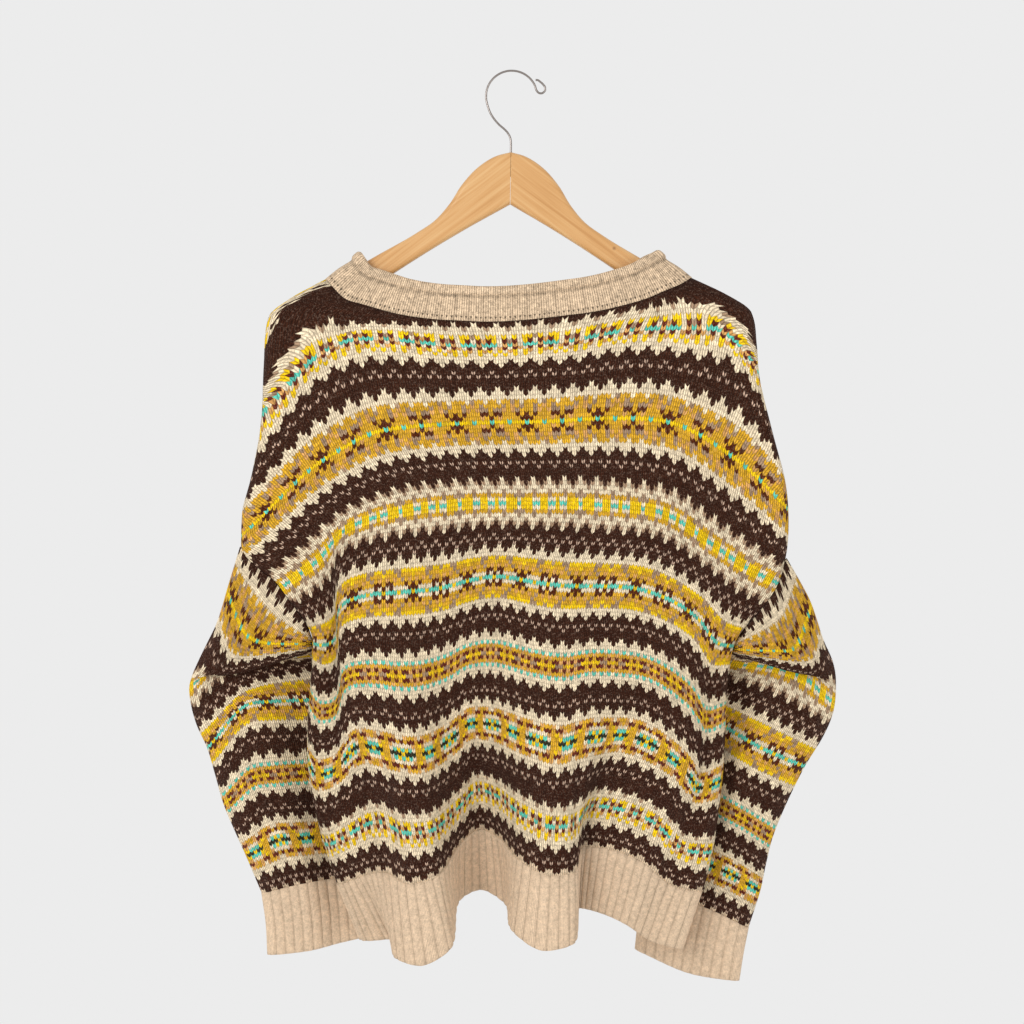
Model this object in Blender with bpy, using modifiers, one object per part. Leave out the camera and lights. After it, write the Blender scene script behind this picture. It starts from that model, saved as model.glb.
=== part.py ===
"""A fair isle jumper on a wooden hanger, modelled as the pieces that are knitted and linked together.

Metres, +Z up. The origin is the inside top of the hook's crook, where a rail or a pin carries the hanger.
The back of the jumper faces -Y, and its left sleeve is at -X.

The shape of the cloth is in two kinds of table, all in millimetres. BODY has a row for each course across
the body, and LEFT_SLEEVE and RIGHT_SLEEVE have a row for each round of a sleeve. Smooth curves run through
the rows, so the back and front panels, their hems and the sleeves all lie on the same cloth.
"""

import math

import bmesh
import bpy
import numpy as np

MM = 0.001

SEAM = 0.3  # space between two pieces at a seam
KNIT = 2.6  # thickness of the stranded knitting
RIB_WALL = 2.6  # thickness of a rib between its ridges
RIB_RELIEF = 1.0  # height of a ridge over the groove beside it

# The body. WALE counts the columns of stitches across a panel; a station is a wale where the cloth turns.
WALES = 144
STATIONS = {
    "left side": 0,
    "left dip": 6,
    "left fold": 12,
    "lobe A left": 24,
    "lobe A": 31,
    "lobe A right": 38,
    "arch left": 52,
    "arch": 60,
    "arch right": 67,
    "lobe B left": 82,
    "lobe B": 89,
    "lobe B right": 96,
    "right crest": 108,
    "right knee": 126,
    "right dip": 135,
    "right side": 144,
}
# Each row: name, course (mm of knitting from the collar), half the body's depth there, then at each station
# how far across (x), how far below the hook's crook, and how far the folds carry it towards the front (y).
BODY = (
    ("neck edge", -26, 14,
     (-174, -166, -158, -138, -121, -105, -68, -47, -24, 26, 51, 75, 114, 145, 157, 168),
     (195, 204, 212, 219, 224, 228, 233, 234, 235, 232, 229, 226, 217, 205, 200, 194),
     (0, 0, 0, 0, 0, 0, 0, 0, 0, 0, 0, 0, 0, 0, 0, 0)),
    ("shoulder", -12, 15,
     (-227, -207, -186, -150, -130, -111, -70, -47, -23, 27, 52, 76, 117, 159, 188, 223),
     (230, 223, 220, 230, 232, 235, 240, 241, 241, 239, 236, 232, 224, 215, 212, 225),
     (0, 0, 0, 0, 0, 0, 0, 0, 0, 0, 0, 0, 0, 0, 0, 0)),
    ("first band", 22, 16,
     (-233, -219, -204, -172, -149, -125, -75, -47, -22, 31, 56, 80, 122, 185, 212, 230),
     (319, 303, 287, 260, 251, 250, 255, 257, 257, 254, 252, 247, 241, 240, 256, 282),
     (0, 0, 0, 0, 0, 0, 0, 0, 0, 0, 0, 0, 0, 0, 0, 0)),
    ("upper chest", 101, 17,
     (-254, -236, -219, -183, -159, -135, -80, -48, -20, 39, 67, 95, 143, 206, 233, 258),
     (434, 417, 400, 368, 353, 340, 331, 329, 328, 327, 325, 324, 327, 360, 383, 410),
     (0, 0, 0, 0, -2, -3, -3, -3, -3, -3, -2, 0, 0, 0, 0, 0)),
    ("chest", 180, 17,
     (-216, -198, -182, -152, -129, -105, -57, -29, -5, 48, 73, 99, 140, 193, 219, 248),
     (482, 469, 457, 426, 417, 411, 405, 403, 403, 403, 404, 406, 412, 446, 463, 478),
     (0, 0, 2, -5, -6, -6, -4, -3, -4, -5, -6, -6, -5, -2, 0, 0)),
    ("underarm", 257, 17,
     (-186, -176, -165, -156, -132, -107, -62, -37, -15, 32, 55, 78, 119, 172, 191, 207),
     (535, 537, 532, 498, 490, 488, 483, 476, 473, 480, 482, 482, 485, 512, 535, 538),
     (0, 2, 4, -9, -9, -8, -2, 0, -1, -6, -8, -8, -8, -6, 4, 0)),
    ("waist", 410, 17,
     (-191, -182, -167, -139, -116, -92, -58, -37, -19, 19, 43, 67, 102, 156, 175, 196),
     (642, 657, 654, 629, 633, 637, 624, 609, 610, 622, 627, 621, 619, 647, 670, 662),
     (2, 4, 2, -8, -18, -24, 2, 12, 6, -18, -26, -24, -8, -12, 4, 2)),
    ("last band", 486, 17,
     (-175, -168, -157, -123, -101, -80, -51, -32, -16, 15, 37, 56, 73, 133, 159, 187),
     (723, 722, 716, 701, 709, 708, 689, 673, 677, 695, 703, 701, 686, 702, 727, 731),
     (3, 3, 0, -2, -28, -32, 8, 24, 14, -22, -36, -34, -2, -12, 4, 3)),
    ("hem", 608, 16,
     (-143, -133, -112, -106, -84, -57, -51, -29, -7, 3, 30, 56, 62, 105, 129, 160),
     (810, 812, 810, 823, 828, 813, 777, 768, 778, 800, 814, 808, 781, 795, 812, 821),
     (4, 4, 2, -34, -50, -40, 18, 36, 24, -32, -52, -42, 0, -6, 4, 4)),
)
NECK_COURSE = -26
RIB_COURSE = 532  # where the hem rib is picked up, 76 above the hem
SIDE_ROLL = 0.035  # share of the panel's width over which it rounds away to the side seam
ARMHOLE_TOP = {"left": 112, "right": 150}  # courses between which a side opens into its sleeve
UNDERARM = 250
ARMHOLE_HALF_DEPTH = 14
ARMHOLE_SEAM = 0.6  # space to the sleeve, which meets the panels at an angle
CORNER_STEP = 0.6  # more space at the top and bottom of the armhole, where both panels meet the sleeve
CORNER_TURN = 0.8  # how far the sleeve's edge follows its own slope there
FRONT_NECK_DROP = 74  # how much lower the front neck is cut than the back
FRONT_FOLDS = 0.45  # share of the folds that the front panel follows
PANEL_COURSES = (-26, -19, -12, 5, 22, 52, 82, 112, 131, 150, 170, 190, 210, 230, 250,
                 280, 320, 360, 400, 440, 485, 532)
SIDE_SHARES = (0.0, 0.006, 0.015, 0.026)  # close columns that round the cloth over at each side
BACK_COLUMNS = 36
FRONT_COLUMNS = 23
BODY_RIBS = 58  # ribs across each panel's hem
HEM_ROWS = (0, 38, 76)  # courses below the seam
HEM_SEAM = 0.5  # space to the rib, which turns sharply at the folds

# The sleeves. Each row: name, course (mm of knitting from the armhole), then outer edge, middle of the near
# side and inner edge as (across, below), the near side's depth at SLEEVE_DEPTH_SHARES of the way in, and the
# sleeve's thickness.
SLEEVE_DEPTH_SHARES = (0, 0.4, 0.7, 1)
LEFT_SLEEVE = (
    ("upper arm", 32, (-265, 482), (-240, 528), (-192, 534), (-13, -17, -15, -12), 26),
    ("over the elbow", 64, (-277, 519), (-260, 551), (-192.5, 538), (-9, -16, -11, -7), 29),
    ("lip of the fold", 90, (-294, 553), (-277, 564), (-192, 542), (-5, -12, -4, 0), 32),
    ("inside the fold", 115, (-303, 579), (-279, 557), (-190.5, 546), (0, 2, 10, 12), 34),
    ("under the fold", 150, (-298, 609), (-255, 571), (-182, 553), (8, 4, 20, 25), 33),
    ("forearm", 190, (-287, 635), (-241, 591), (-160, 590), (12, 6, 27, 31), 32),
    ("low forearm", 267, (-272, 687), (-238, 658), (-150, 656), (14, 8, 29, 31), 30),
    ("above the cuff", 343, (-251, 736), (-213, 718), (-144, 718), (16, 12, 30, 32), 28),
    ("cuff seam", 389, (-236, 771), (-199, 762), (-141, 757), (16, 15, 31, 32), 26),
    ("cuff end", 465, (-230, 830), (-189, 825), (-137, 814), (16, 17, 31, 32), 24),
)
RIGHT_SLEEVE = (
    ("upper arm", 32, (278, 495), (256, 539), (212, 539), (-13, -17, -15, -12), 26),
    ("over the elbow", 64, (291, 532), (280, 555), (212.5, 541.5), (-9, -16, -11, -7), 29),
    ("lip of the fold", 84, (302, 558), (285, 564), (212, 544.5), (-5, -12, -4, 0), 32),
    ("inside the fold", 103, (304, 582), (268, 554), (210.5, 550), (1, 2, 10, 12), 34),
    ("under the fold", 125, (302, 602), (253, 572), (203, 559), (9, 4, 20, 25), 33),
    ("brown rows", 150, (294, 622), (246, 596), (190, 576), (12, 5, 26, 30), 32),
    ("forearm", 190, (276, 652), (237, 635), (176, 600), (13, 6, 27, 31), 32),
    ("low forearm", 267, (246, 718), (221, 701), (157, 668), (15, 12, 29, 31), 30),
    ("above the cuff", 343, (234, 769), (209, 753), (141, 731), (16, 18, 30, 32), 28),
    ("cuff seam", 389, (223, 804), (195, 790), (127, 768), (18, 24, 31, 32), 26),
    ("cuff end", 465, (214, 855), (167, 848), (118, 827), (20, 28, 31, 32), 24),
)
CUFF_COURSE = 389
CUFF_END = 465
SLEEVE_ROLL = 0.16  # share of a sleeve's width over which it rounds from its near to its far side
SLEEVE_COURSES = (0, 16, 32, 48, 64, 80, 90, 102, 115, 132, 150, 190, 228, 267, 305, 343, 389)
CUFF_RIBS = 22
CUFF_ROWS = 2

# The collar: a rib band that stands on the neck edge and leans in over the shoulders, its edge rolled out.
COLLAR_SEAM = 0.4
COLLAR_RISE = 33
COLLAR_RISE_AT_SHOULDER = 24
COLLAR_LEAN = 34
COLLAR_LEAN_CURVE = 1.6
COLLAR_RIBS = 60
# Each row: share of the collar's height, distance out from its middle, share of the rib's relief.
COLLAR_PROFILE = (
    (0.00, 1.3, 1.0),
    (0.36, 2.2, 1.0),
    (0.68, 1.6, 0.6),
    (0.78, 4.4, 0.0),
    (0.92, 5.2, 0.0),
    (1.00, 2.2, 0.0),
    (0.94, -1.3, 0.0),
    (0.40, -0.9, 0.0),
    (0.00, -1.3, 0.0),
)

# The hanger: two flat arms, mitred at the middle, and a wire hook that passes down between them.
WOOD_THICKNESS = 12
WOOD_EDGE = 4.5  # radius of its rounded edges
REST_GAP = 1.6  # between the arm and the cloth that lies on it
HANGER_TILT = 0.8  # degrees that it hangs askew, its right arm lower
# Half of the outline, from the mitre outwards, as (across, below); the stretch under the cloth follows it.
WOOD_TOP = ((0.15, 75), (13, 78.5), (30.5, 89.5), (45, 105.5), (57, 124.5), (71, 140.5), (86, 151), (125, 174),
            (158, 193.5))
WOOD_REST_COURSES = (-19, -13)
WOOD_END = ((221, 238), (212, 250))
WOOD_UNDERSIDE = ((196, 250), (158, 226), (102, 186), (42, 148), (0.15, 124))
WIRE = 3.0
CROOK_RADIUS = 24.0  # of the wire's middle
CROOK_FROM, CROOK_TO = 14, 198  # degrees, from +X through the top
HOOK_STEM = ((-19.4, 39), (-15.3, 45), (-11, 49.6), (-6.2, 53.6), (-2.4, 58), (-0.4, 63), (0, 69), (0, 80), (0, 98))
HOOK_EYE = ((24.7, 19.6), (26.9, 21.3), (29.5, 20.7), (31.1, 18.3), (31.1, 15), (29.6, 11.8), (27, 9.4), (24.4, 8.0))
BORE = WIRE + 2 * SEAM

COLOURS = {
    "knit": ((0.06, 0.03, 0.02, 1), 0.95, 0.0),
    "rib": ((0.62, 0.49, 0.34, 1), 0.95, 0.0),
    "wood": ((0.68, 0.40, 0.14, 1), 0.45, 0.0),
    "wire": ((0.62, 0.62, 0.62, 1), 0.25, 1.0),
}


def through(knots, values, at):
    """Values at the places `at` on a smooth curve through the values at the knots, with no overshoot."""
    knots = np.asarray(knots, float)
    values = np.asarray(values, float)
    slopes = np.gradient(values, knots, axis=0)
    secants = np.diff(values, axis=0) / np.diff(knots).reshape(-1, *(1,) * (values.ndim - 1))
    before, after = secants[:-1], secants[1:]
    steepest = 3 * np.minimum(np.abs(before), np.abs(after))
    slopes[1:-1] = np.where(before * after > 0, np.clip(slopes[1:-1], -steepest, steepest), 0)
    at = np.clip(at, knots[0], knots[-1])
    span = np.clip(np.searchsorted(knots, at, side="right") - 1, 0, len(knots) - 2)
    width = knots[span + 1] - knots[span]
    share = (at - knots[span]) / width
    extra = (1,) * (values.ndim - 1)
    width, share = width.reshape(-1, *extra), share.reshape(-1, *extra)
    start = (1 + 2 * share) * (1 - share) ** 2 * values[span]
    leave = share * (1 - share) ** 2 * width * slopes[span]
    arrive = share**2 * (share - 1) * width * slopes[span + 1]
    end = share**2 * (3 - 2 * share) * values[span + 1]
    return start + leave + arrive + end


def rounded(share):
    """A quarter ellipse: 0 at an edge, 1 from share 1 on."""
    inside = 1 - np.clip(share, 0, 1)
    return np.sqrt(1 - inside**2)


def opening(course, side):
    """How far a body side stands open into its sleeve: 0 at the armhole's ends, 1 at its middle."""
    top = ARMHOLE_TOP[side]
    along = np.clip((course - top) / (UNDERARM - top), 0, 1)
    return np.clip(np.sin(math.pi * along), 0, 1) ** 0.75


class Body:
    """The hung body as one smooth surface for each side, in millimetres."""

    courses = [row[1] for row in BODY]
    shares = np.array(list(STATIONS.values())) / WALES

    def tabled(self, column, share, course):
        """A column of BODY at shares (n) of the width and courses (m, n)."""
        across = through(self.shares, np.array([row[column] for row in BODY]).T, share)
        return np.stack([through(self.courses, across[n], course[:, n]) for n in range(len(share))], 1)

    def closing(self, share, course):
        """0 where the panel meets the other one at a side, 1 where it stands its full depth away."""
        half = through(self.courses, [row[2] for row in BODY], course.ravel()).reshape(course.shape)
        left = opening(course, "left") * ARMHOLE_HALF_DEPTH / half
        right = opening(course, "right") * ARMHOLE_HALF_DEPTH / half
        opened = np.where(share < 0.5, left, right)
        near_side = rounded(np.minimum(share, 1 - share) / SIDE_ROLL)
        return half * (opened + (1 - opened) * near_side), opened

    def surface(self, share, course, towards):
        """Points (m, n, 3) and unit normals of the panel on the side `towards`, -1 back or 1 front."""
        across = self.tabled(3, share, course)
        below = self.tabled(4, share, course)
        folds = self.tabled(5, share, course)
        if towards > 0:
            folds = folds * (1 - (1 - FRONT_FOLDS) * rounded(np.minimum(share, 1 - share) / 0.12))
        depth, opened = self.closing(share, course)
        points = np.stack([across, folds + towards * (SEAM / 2 + depth), -below], 2)
        normals = outward(points, towards)
        for edge in (0, -1):
            normals[:, edge, 1] *= opened[:, edge]
        return points, unit(normals)


def unit(vectors):
    """The vectors at length 1."""
    return vectors / np.linalg.norm(vectors, axis=-1, keepdims=True)


def outward(points, towards, closed=False):
    """Unit normals of a grid of points whose rows run down and columns run across or round."""
    down = np.gradient(points, axis=0)
    if closed:
        round_about = (np.roll(points, -1, axis=1) - np.roll(points, 1, axis=1)) / 2
    else:
        round_about = np.gradient(points, axis=1)
    return unit(np.cross(round_about, down) * towards)


def panel_columns(columns):
    """Shares of a panel's width, close together where the cloth rounds over at its sides."""
    middle = np.linspace(0.045, 0.955, columns + 1)
    side = np.array(SIDE_SHARES)
    return np.concatenate([side, middle, 1 - side[::-1]])


def panel_courses(share, front):
    """The courses of a panel's rows (m, n), with the front's neck cut lower at its middle."""
    rows = np.repeat(np.array(PANEL_COURSES, float)[:, None], len(share), 1)
    if front:
        bell = np.sin(math.pi * np.minimum(share, 1 - share)) ** 2.4
        top = NECK_COURSE + FRONT_NECK_DROP * bell
        end = ARMHOLE_TOP["left"]
        squeezed = top + (rows - NECK_COURSE) * (end - top) / (end - NECK_COURSE)
        rows = np.where(rows < end, squeezed, rows)
    return rows


def add_mesh(name, points, faces, material, collection):
    """A mesh object from points in millimetres."""
    mesh = bpy.data.meshes.new(name)
    mesh.from_pydata([tuple(point) for point in np.asarray(points) * MM], [], faces)
    bm = bmesh.new()
    bm.from_mesh(mesh)
    bmesh.ops.recalc_face_normals(bm, faces=bm.faces)
    bm.to_mesh(mesh)
    bm.free()
    mesh.materials.append(material)
    mesh.shade_smooth()
    mesh.set_sharp_from_angle(angle=math.radians(50))
    item = bpy.data.objects.new(name, mesh)
    collection.objects.link(item)
    return item


def wall(name, outer, inner, closed, material, collection):
    """A wall between two grids of points (m, n, 3): a loft that is open or closed round its columns."""
    rows, columns = outer.shape[:2]
    count = rows * columns
    span = columns if closed else columns - 1

    def corner(row, column, layer):
        return layer * count + row * columns + column % columns

    faces = []
    for row in range(rows - 1):
        for column in range(span):
            for layer in (0, 1):
                faces.append((corner(row, column, layer), corner(row, column + 1, layer),
                              corner(row + 1, column + 1, layer), corner(row + 1, column, layer)))
    for column in range(span):
        for row in (0, rows - 1):
            faces.append((corner(row, column, 0), corner(row, column + 1, 0),
                          corner(row, column + 1, 1), corner(row, column, 1)))
    if not closed:
        for row in range(rows - 1):
            for column in (0, columns - 1):
                faces.append((corner(row, column, 0), corner(row + 1, column, 0),
                              corner(row + 1, column, 1), corner(row, column, 1)))
    points = np.concatenate([outer.reshape(-1, 3), inner.reshape(-1, 3)])
    return add_mesh(name, points, faces, material, collection)


def along_row(shares, values, at):
    """Straight-line values between the columns of one row, so that a finer piece meets a coarser one."""
    return np.stack([np.interp(at, shares, values[:, axis]) for axis in range(3)], 1)


def looped(round_about):
    """A round of points with its first one again at the end."""
    return np.concatenate([round_about, round_about[:1]])


def rib_relief(columns):
    """Ridge and groove by turns, a column each."""
    return RIB_RELIEF * (np.arange(columns) % 2)


def panel_grid(front, body):
    """A body panel's shares of the width, points and normals."""
    share = panel_columns(FRONT_COLUMNS if front else BACK_COLUMNS)
    return share, *body.surface(share, panel_courses(share, front), 1 if front else -1)


def build_panel(name, panel, material, collection):
    """A body panel from neck to hem rib."""
    _, points, normals = panel
    wall(name, points + normals * KNIT / 2, points - normals * KNIT / 2, False, material, collection)


def build_hem(name, front, body, panel, material, collection):
    """The rib that ends a body panel: ridges raised on its outer points, plain inside."""
    share, points, normals = panel
    fine = np.linspace(0, 1, 2 * BODY_RIBS + 1)
    towards = 1 if front else -1
    courses = np.repeat(RIB_COURSE + np.array(HEM_ROWS, float)[:, None], len(fine), 1)
    grid, out = body.surface(fine, courses, towards)
    across = np.gradient(points[-1], axis=0)
    down = points[-1] - points[-2]
    down = unit(down - across * (np.sum(down * across, axis=1) / np.sum(across * across, axis=1))[:, None])
    grid[0] = along_row(share, points[-1] + down * HEM_SEAM, fine)
    out[0] = along_row(share, normals[-1], fine)
    ridges = rib_relief(len(fine))[None, :, None]
    wall(name, grid + out * (RIB_WALL / 2 + ridges), grid - out * RIB_WALL / 2, False, material, collection)


class Sleeve:
    """A hung sleeve from its armhole to its cuff's end, as rounds of points in millimetres."""

    def __init__(self, side, table, back, front):
        self.side, self.table = side, table
        self.rows = [n for n, course in enumerate(PANEL_COURSES) if ARMHOLE_TOP[side] <= course <= UNDERARM]
        self.edge, self.within = (0, 4) if side == "left" else (-1, -5)
        self.seams = [self.seam(panel) for panel in (back, front)]
        self.chords = len(self.rows) - 1
        self.half = 2 * self.chords
        self.points = self.rounds(SLEEVE_COURSES, self.half)
        self.normals = self.outwards(self.points)
        self.mitre(back, front)

    def seam(self, panel):
        """The panel's armhole edge, stepped off square to it."""
        _, points, _ = panel
        seam = points[self.rows, self.edge]
        along = np.gradient(seam, axis=0)
        away = np.stack([along[:, 2], np.zeros(len(seam)), -along[:, 0]], 1)
        away *= np.sign(np.sum(away * (seam - points[self.rows, self.within]), axis=1, keepdims=True))
        seam = seam + unit(away) * ARMHOLE_SEAM
        seam[[0, -1]] += unit(away)[[0, -1]] * CORNER_STEP
        seam[[0, -1], 1] = 0
        return seam

    def armhole(self, half):
        """The first round: each seam's points at its corners and evenly between them."""
        places = np.linspace(0, self.chords, half + 1)
        near, far = (along_row(np.arange(self.chords + 1), seam, places) for seam in self.seams)
        return np.concatenate([near, far[-2:0:-1]])

    def drawn(self, row, half):
        """One round of the table: near side from outer to inner edge, and the far side back."""
        _, _, outer, middle, inner, near, thickness = row
        share = np.linspace(0, 1, half + 1)
        first, second = math.dist(outer, middle), math.dist(middle, inner)
        near_line = through((0, first / (first + second), 1), (outer, middle, inner), share)
        far_line = through((0, 1), (outer, inner), share)
        near_depth = through(SLEEVE_DEPTH_SHARES, near, share)
        far_depth = near[0] + (near[3] - near[0]) * share + thickness
        turn = rounded(np.minimum(share, 1 - share) / SLEEVE_ROLL)
        centre = (near_depth + far_depth) / 2
        near_side = np.stack([near_line[:, 0], centre + (near_depth - centre) * turn, -near_line[:, 1]], 1)
        far_side = np.stack([far_line[:, 0], centre + (far_depth - centre) * turn, -far_line[:, 1]], 1)
        return np.concatenate([near_side, far_side[-2:0:-1]])

    def rounds(self, courses, half):
        """Rounds of points (m, 2 * half, 3) at the courses."""
        drawn = [self.armhole(half)] + [self.drawn(row, half) for row in self.table]
        return through([0] + [row[1] for row in self.table], drawn, np.array(courses, float))

    def outwards(self, points):
        """Normals that point out of the tube."""
        return outward(points, -1 if self.side == "left" else 1, closed=True)

    def mitre(self, back, front):
        """Turns the walls that meet at the armhole to the direction halfway between them."""
        count = 2 * self.half
        first = self.normals[0]
        for (_, _, normals), way in ((back, 1), (front, -1)):
            for corner, row in enumerate(self.rows):
                place = way * 2 * corner % count
                halfway = unit(normals[row, self.edge] + first[place])
                normals[row, self.edge] = halfway
                if 0 < corner < self.chords:
                    first[place] = halfway
                elif way > 0:
                    first[place] = unit(halfway + CORNER_TURN * first[place])
        for place in range(1, count, 2):
            first[place] = unit(first[place - 1] + first[(place + 1) % count])


def build_sleeve(sleeve, material, collection):
    """A sleeve from its armhole to its cuff."""
    points, normals = sleeve.points, sleeve.normals
    wall(f"{sleeve.side}_sleeve", points + normals * KNIT / 2, points - normals * KNIT / 2, True,
         material, collection)


def build_cuff(sleeve, material, collection):
    """The rib that ends a sleeve: ridges raised on its outer points, plain inside."""
    step = (CUFF_END - CUFF_COURSE) / CUFF_ROWS
    cuff = sleeve.rounds([CUFF_COURSE + step * n for n in range(CUFF_ROWS + 1)], CUFF_RIBS)
    out = sleeve.outwards(cuff)
    down = unit(sleeve.points[-1] - sleeve.points[-2])
    ring = np.arange(2 * sleeve.half + 1)
    places = np.arange(2 * CUFF_RIBS) * sleeve.half / CUFF_RIBS
    cuff[0] = along_row(ring, looped(sleeve.points[-1] + down * SEAM), places)
    out[0] = along_row(ring, looped(sleeve.normals[-1]), places)
    ridges = rib_relief(2 * CUFF_RIBS)[None, :, None]
    wall(f"{sleeve.side}_cuff", cuff + out * (RIB_WALL / 2 + ridges), cuff - out * RIB_WALL / 2, True,
         material, collection)


def collar_ring(panel, share):
    """The neck edge of a panel at finer shares, and the points of the collar's rolled edge above it."""
    columns, points, _ = panel
    up = unit(points[0] - points[1])
    foot = along_row(columns, points[0] + up * COLLAR_SEAM, share)
    to_side = np.abs(2 * share - 1)
    lean = -np.sign(2 * share - 1) * COLLAR_LEAN * to_side**COLLAR_LEAN_CURVE
    rise = COLLAR_RISE - (COLLAR_RISE - COLLAR_RISE_AT_SHOULDER) * to_side**6
    inwards = -np.sign(foot[:, 1]) * np.minimum(np.abs(foot[:, 1]), 2)
    head = foot + np.stack([lean, inwards, rise], 1)
    return foot, head


def build_collar(back, front, material, collection):
    """The rib band round the neck, with its edge rolled outwards."""
    share = np.linspace(0, 1, COLLAR_RIBS + 1)
    back_foot, back_head = collar_ring(back, share)
    front_foot, front_head = collar_ring(front, share)
    foot = np.concatenate([back_foot, front_foot[-2:0:-1]])
    head = np.concatenate([back_head, front_head[-2:0:-1]])
    round_about = np.roll(foot, -1, axis=0) - np.roll(foot, 1, axis=0)
    out = unit(np.cross(round_about, head - foot))
    if np.sum(out * (foot.mean(axis=0) - foot)) > 0:
        out = -out
    ridges = rib_relief(len(foot))[:, None]
    loops = [foot + (head - foot) * height + out * (distance + share_of_rib * ridges)
             for height, distance, share_of_rib in COLLAR_PROFILE]
    sections = np.stack(loops)
    rows, columns = sections.shape[:2]
    faces = []
    for row in range(rows):
        for column in range(columns):
            below, beside = (row + 1) % rows, (column + 1) % columns
            faces.append((row * columns + column, row * columns + beside,
                          below * columns + beside, below * columns + column))
    add_mesh("collar", sections.reshape(-1, 3), faces, material, collection)


def tilted(points):
    """Points (across, up) of the hanger as it hangs, turned about the place where its hook rests."""
    turn = math.radians(HANGER_TILT)
    across, up = np.asarray(points, float).T
    return np.stack([across * math.cos(turn) + up * math.sin(turn), up * math.cos(turn) - across * math.sin(turn)], 1)


def arm_top(side, body):
    """The stretch of an arm's upper edge that carries the shoulder, just under the cloth's fold."""
    edge = np.array([0.0 if side == "left" else 1.0])
    courses = np.array(WOOD_REST_COURSES, float)[:, None]
    folded = np.stack([body.tabled(3, edge, courses)[:, 0], -body.tabled(4, edge, courses)[:, 0]], 1)
    tangent = unit(np.gradient(folded, axis=0))
    inwards = np.stack([tangent[:, 1], -tangent[:, 0]], 1)
    inwards *= -np.sign(inwards[:, 1:])
    return folded + inwards * (KNIT / 2 + REST_GAP)


def build_arm(side, body, material, collection, cutters):
    """One arm of the hanger: a flat outline with rounded edges, bored at the mitre for the wire."""
    sign = -1 if side == "left" else 1
    top = tilted([(sign * x, -below) for x, below in WOOD_TOP])
    lower = tilted([(sign * x, -below) for x, below in WOOD_END + WOOD_UNDERSIDE])
    outline = [*top, *arm_top(side, body), *lower]

    curve = bpy.data.curves.new(f"hanger_arm_{side}", "CURVE")
    curve.dimensions = "2D"
    curve.fill_mode = "BOTH"
    curve.extrude = WOOD_THICKNESS / 2 * MM
    spline = curve.splines.new("POLY")
    spline.points.add(len(outline) - 1)
    for point, (x, z) in zip(spline.points, outline):
        point.co = (x * MM, z * MM, 0, 1)
    spline.use_cyclic_u = True
    arm = bpy.data.objects.new(f"hanger_arm_{side}", curve)
    collection.objects.link(arm)
    arm.rotation_euler = (math.radians(90), 0, 0)
    bpy.context.view_layer.update()

    graph = bpy.context.evaluated_depsgraph_get()
    mesh = bpy.data.meshes.new_from_object(arm.evaluated_get(graph))
    placed = bpy.data.objects.new(f"hanger_arm_{side}_solid", mesh)
    placed.matrix_world = arm.matrix_world
    bpy.data.objects.remove(arm)
    placed.name = f"hanger_arm_{side}"
    collection.objects.link(placed)
    bm = bmesh.new()
    bm.from_mesh(mesh)
    bmesh.ops.remove_doubles(bm, verts=bm.verts, dist=0.00001)
    bm.to_mesh(mesh)
    bm.free()
    mesh.materials.clear()
    mesh.materials.append(material)

    edges = placed.modifiers.new("rounded edges", "BEVEL")
    edges.width = WOOD_EDGE * MM
    edges.segments = 2
    edges.limit_method = "ANGLE"
    edges.angle_limit = math.radians(60)
    bore = placed.modifiers.new("bore for the wire", "BOOLEAN")
    bore.object = cutters["bore"]
    bore.operation = "DIFFERENCE"
    return placed


def build_bore(collection):
    """The cutter for the hole that the hook's stem goes down."""
    top, bottom = 60, 102
    bpy.ops.mesh.primitive_cylinder_add(
        vertices=16, radius=BORE / 2 * MM, depth=(bottom - top) * MM
    )
    cutter = bpy.context.object
    (across, up), = tilted([(0, -(top + bottom) / 2)])
    cutter.location = (across * MM, 0, up * MM)
    cutter.rotation_euler = (0, math.radians(HANGER_TILT), 0)
    cutter.name = "wire_bore_cutter"
    for owner in list(cutter.users_collection):
        owner.objects.unlink(cutter)
    collection.objects.link(cutter)
    cutter.hide_render = True
    cutter.display_type = "WIRE"
    return cutter


def build_hook(material, collection):
    """The wire hook: a stem, a round crook and a small turned-back eye."""
    centre = -(CROOK_RADIUS - WIRE / 2)
    turns = [math.radians(CROOK_TO + (CROOK_FROM - CROOK_TO) * n / 14) for n in range(15)]
    crook = [(CROOK_RADIUS * math.cos(a), centre + CROOK_RADIUS * math.sin(a)) for a in turns]
    stem = [(x, -below) for x, below in HOOK_STEM[::-1]]
    eye = [(x, -below) for x, below in HOOK_EYE]
    route = tilted(stem + crook + eye)
    steps = np.concatenate([[0], np.cumsum(np.linalg.norm(np.diff(route, axis=0), axis=1))])
    smooth = through(steps, route, np.linspace(0, steps[-1], 38))

    curve = bpy.data.curves.new("hanger_hook", "CURVE")
    curve.dimensions = "3D"
    curve.bevel_depth = WIRE / 2 * MM
    curve.bevel_resolution = 2
    curve.use_fill_caps = True
    spline = curve.splines.new("POLY")
    spline.points.add(len(smooth) - 1)
    for point, (x, z) in zip(spline.points, smooth):
        point.co = (x * MM, 0, z * MM, 1)
    hook = bpy.data.objects.new("hanger_hook", curve)
    curve.materials.append(material)
    collection.objects.link(hook)


def new_material(name):
    """A plain Principled material for one kind of piece."""
    colour, roughness, metallic = COLOURS[name]
    material = bpy.data.materials.new(name)
    material.use_nodes = True
    shader = material.node_tree.nodes["Principled BSDF"]
    shader.inputs["Base Color"].default_value = colour
    shader.inputs["Roughness"].default_value = roughness
    shader.inputs["Metallic"].default_value = metallic
    material.diffuse_color = colour
    return material


def new_collection(name):
    """A collection of the scene."""
    collection = bpy.data.collections.new(name)
    bpy.context.scene.collection.children.link(collection)
    return collection


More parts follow.
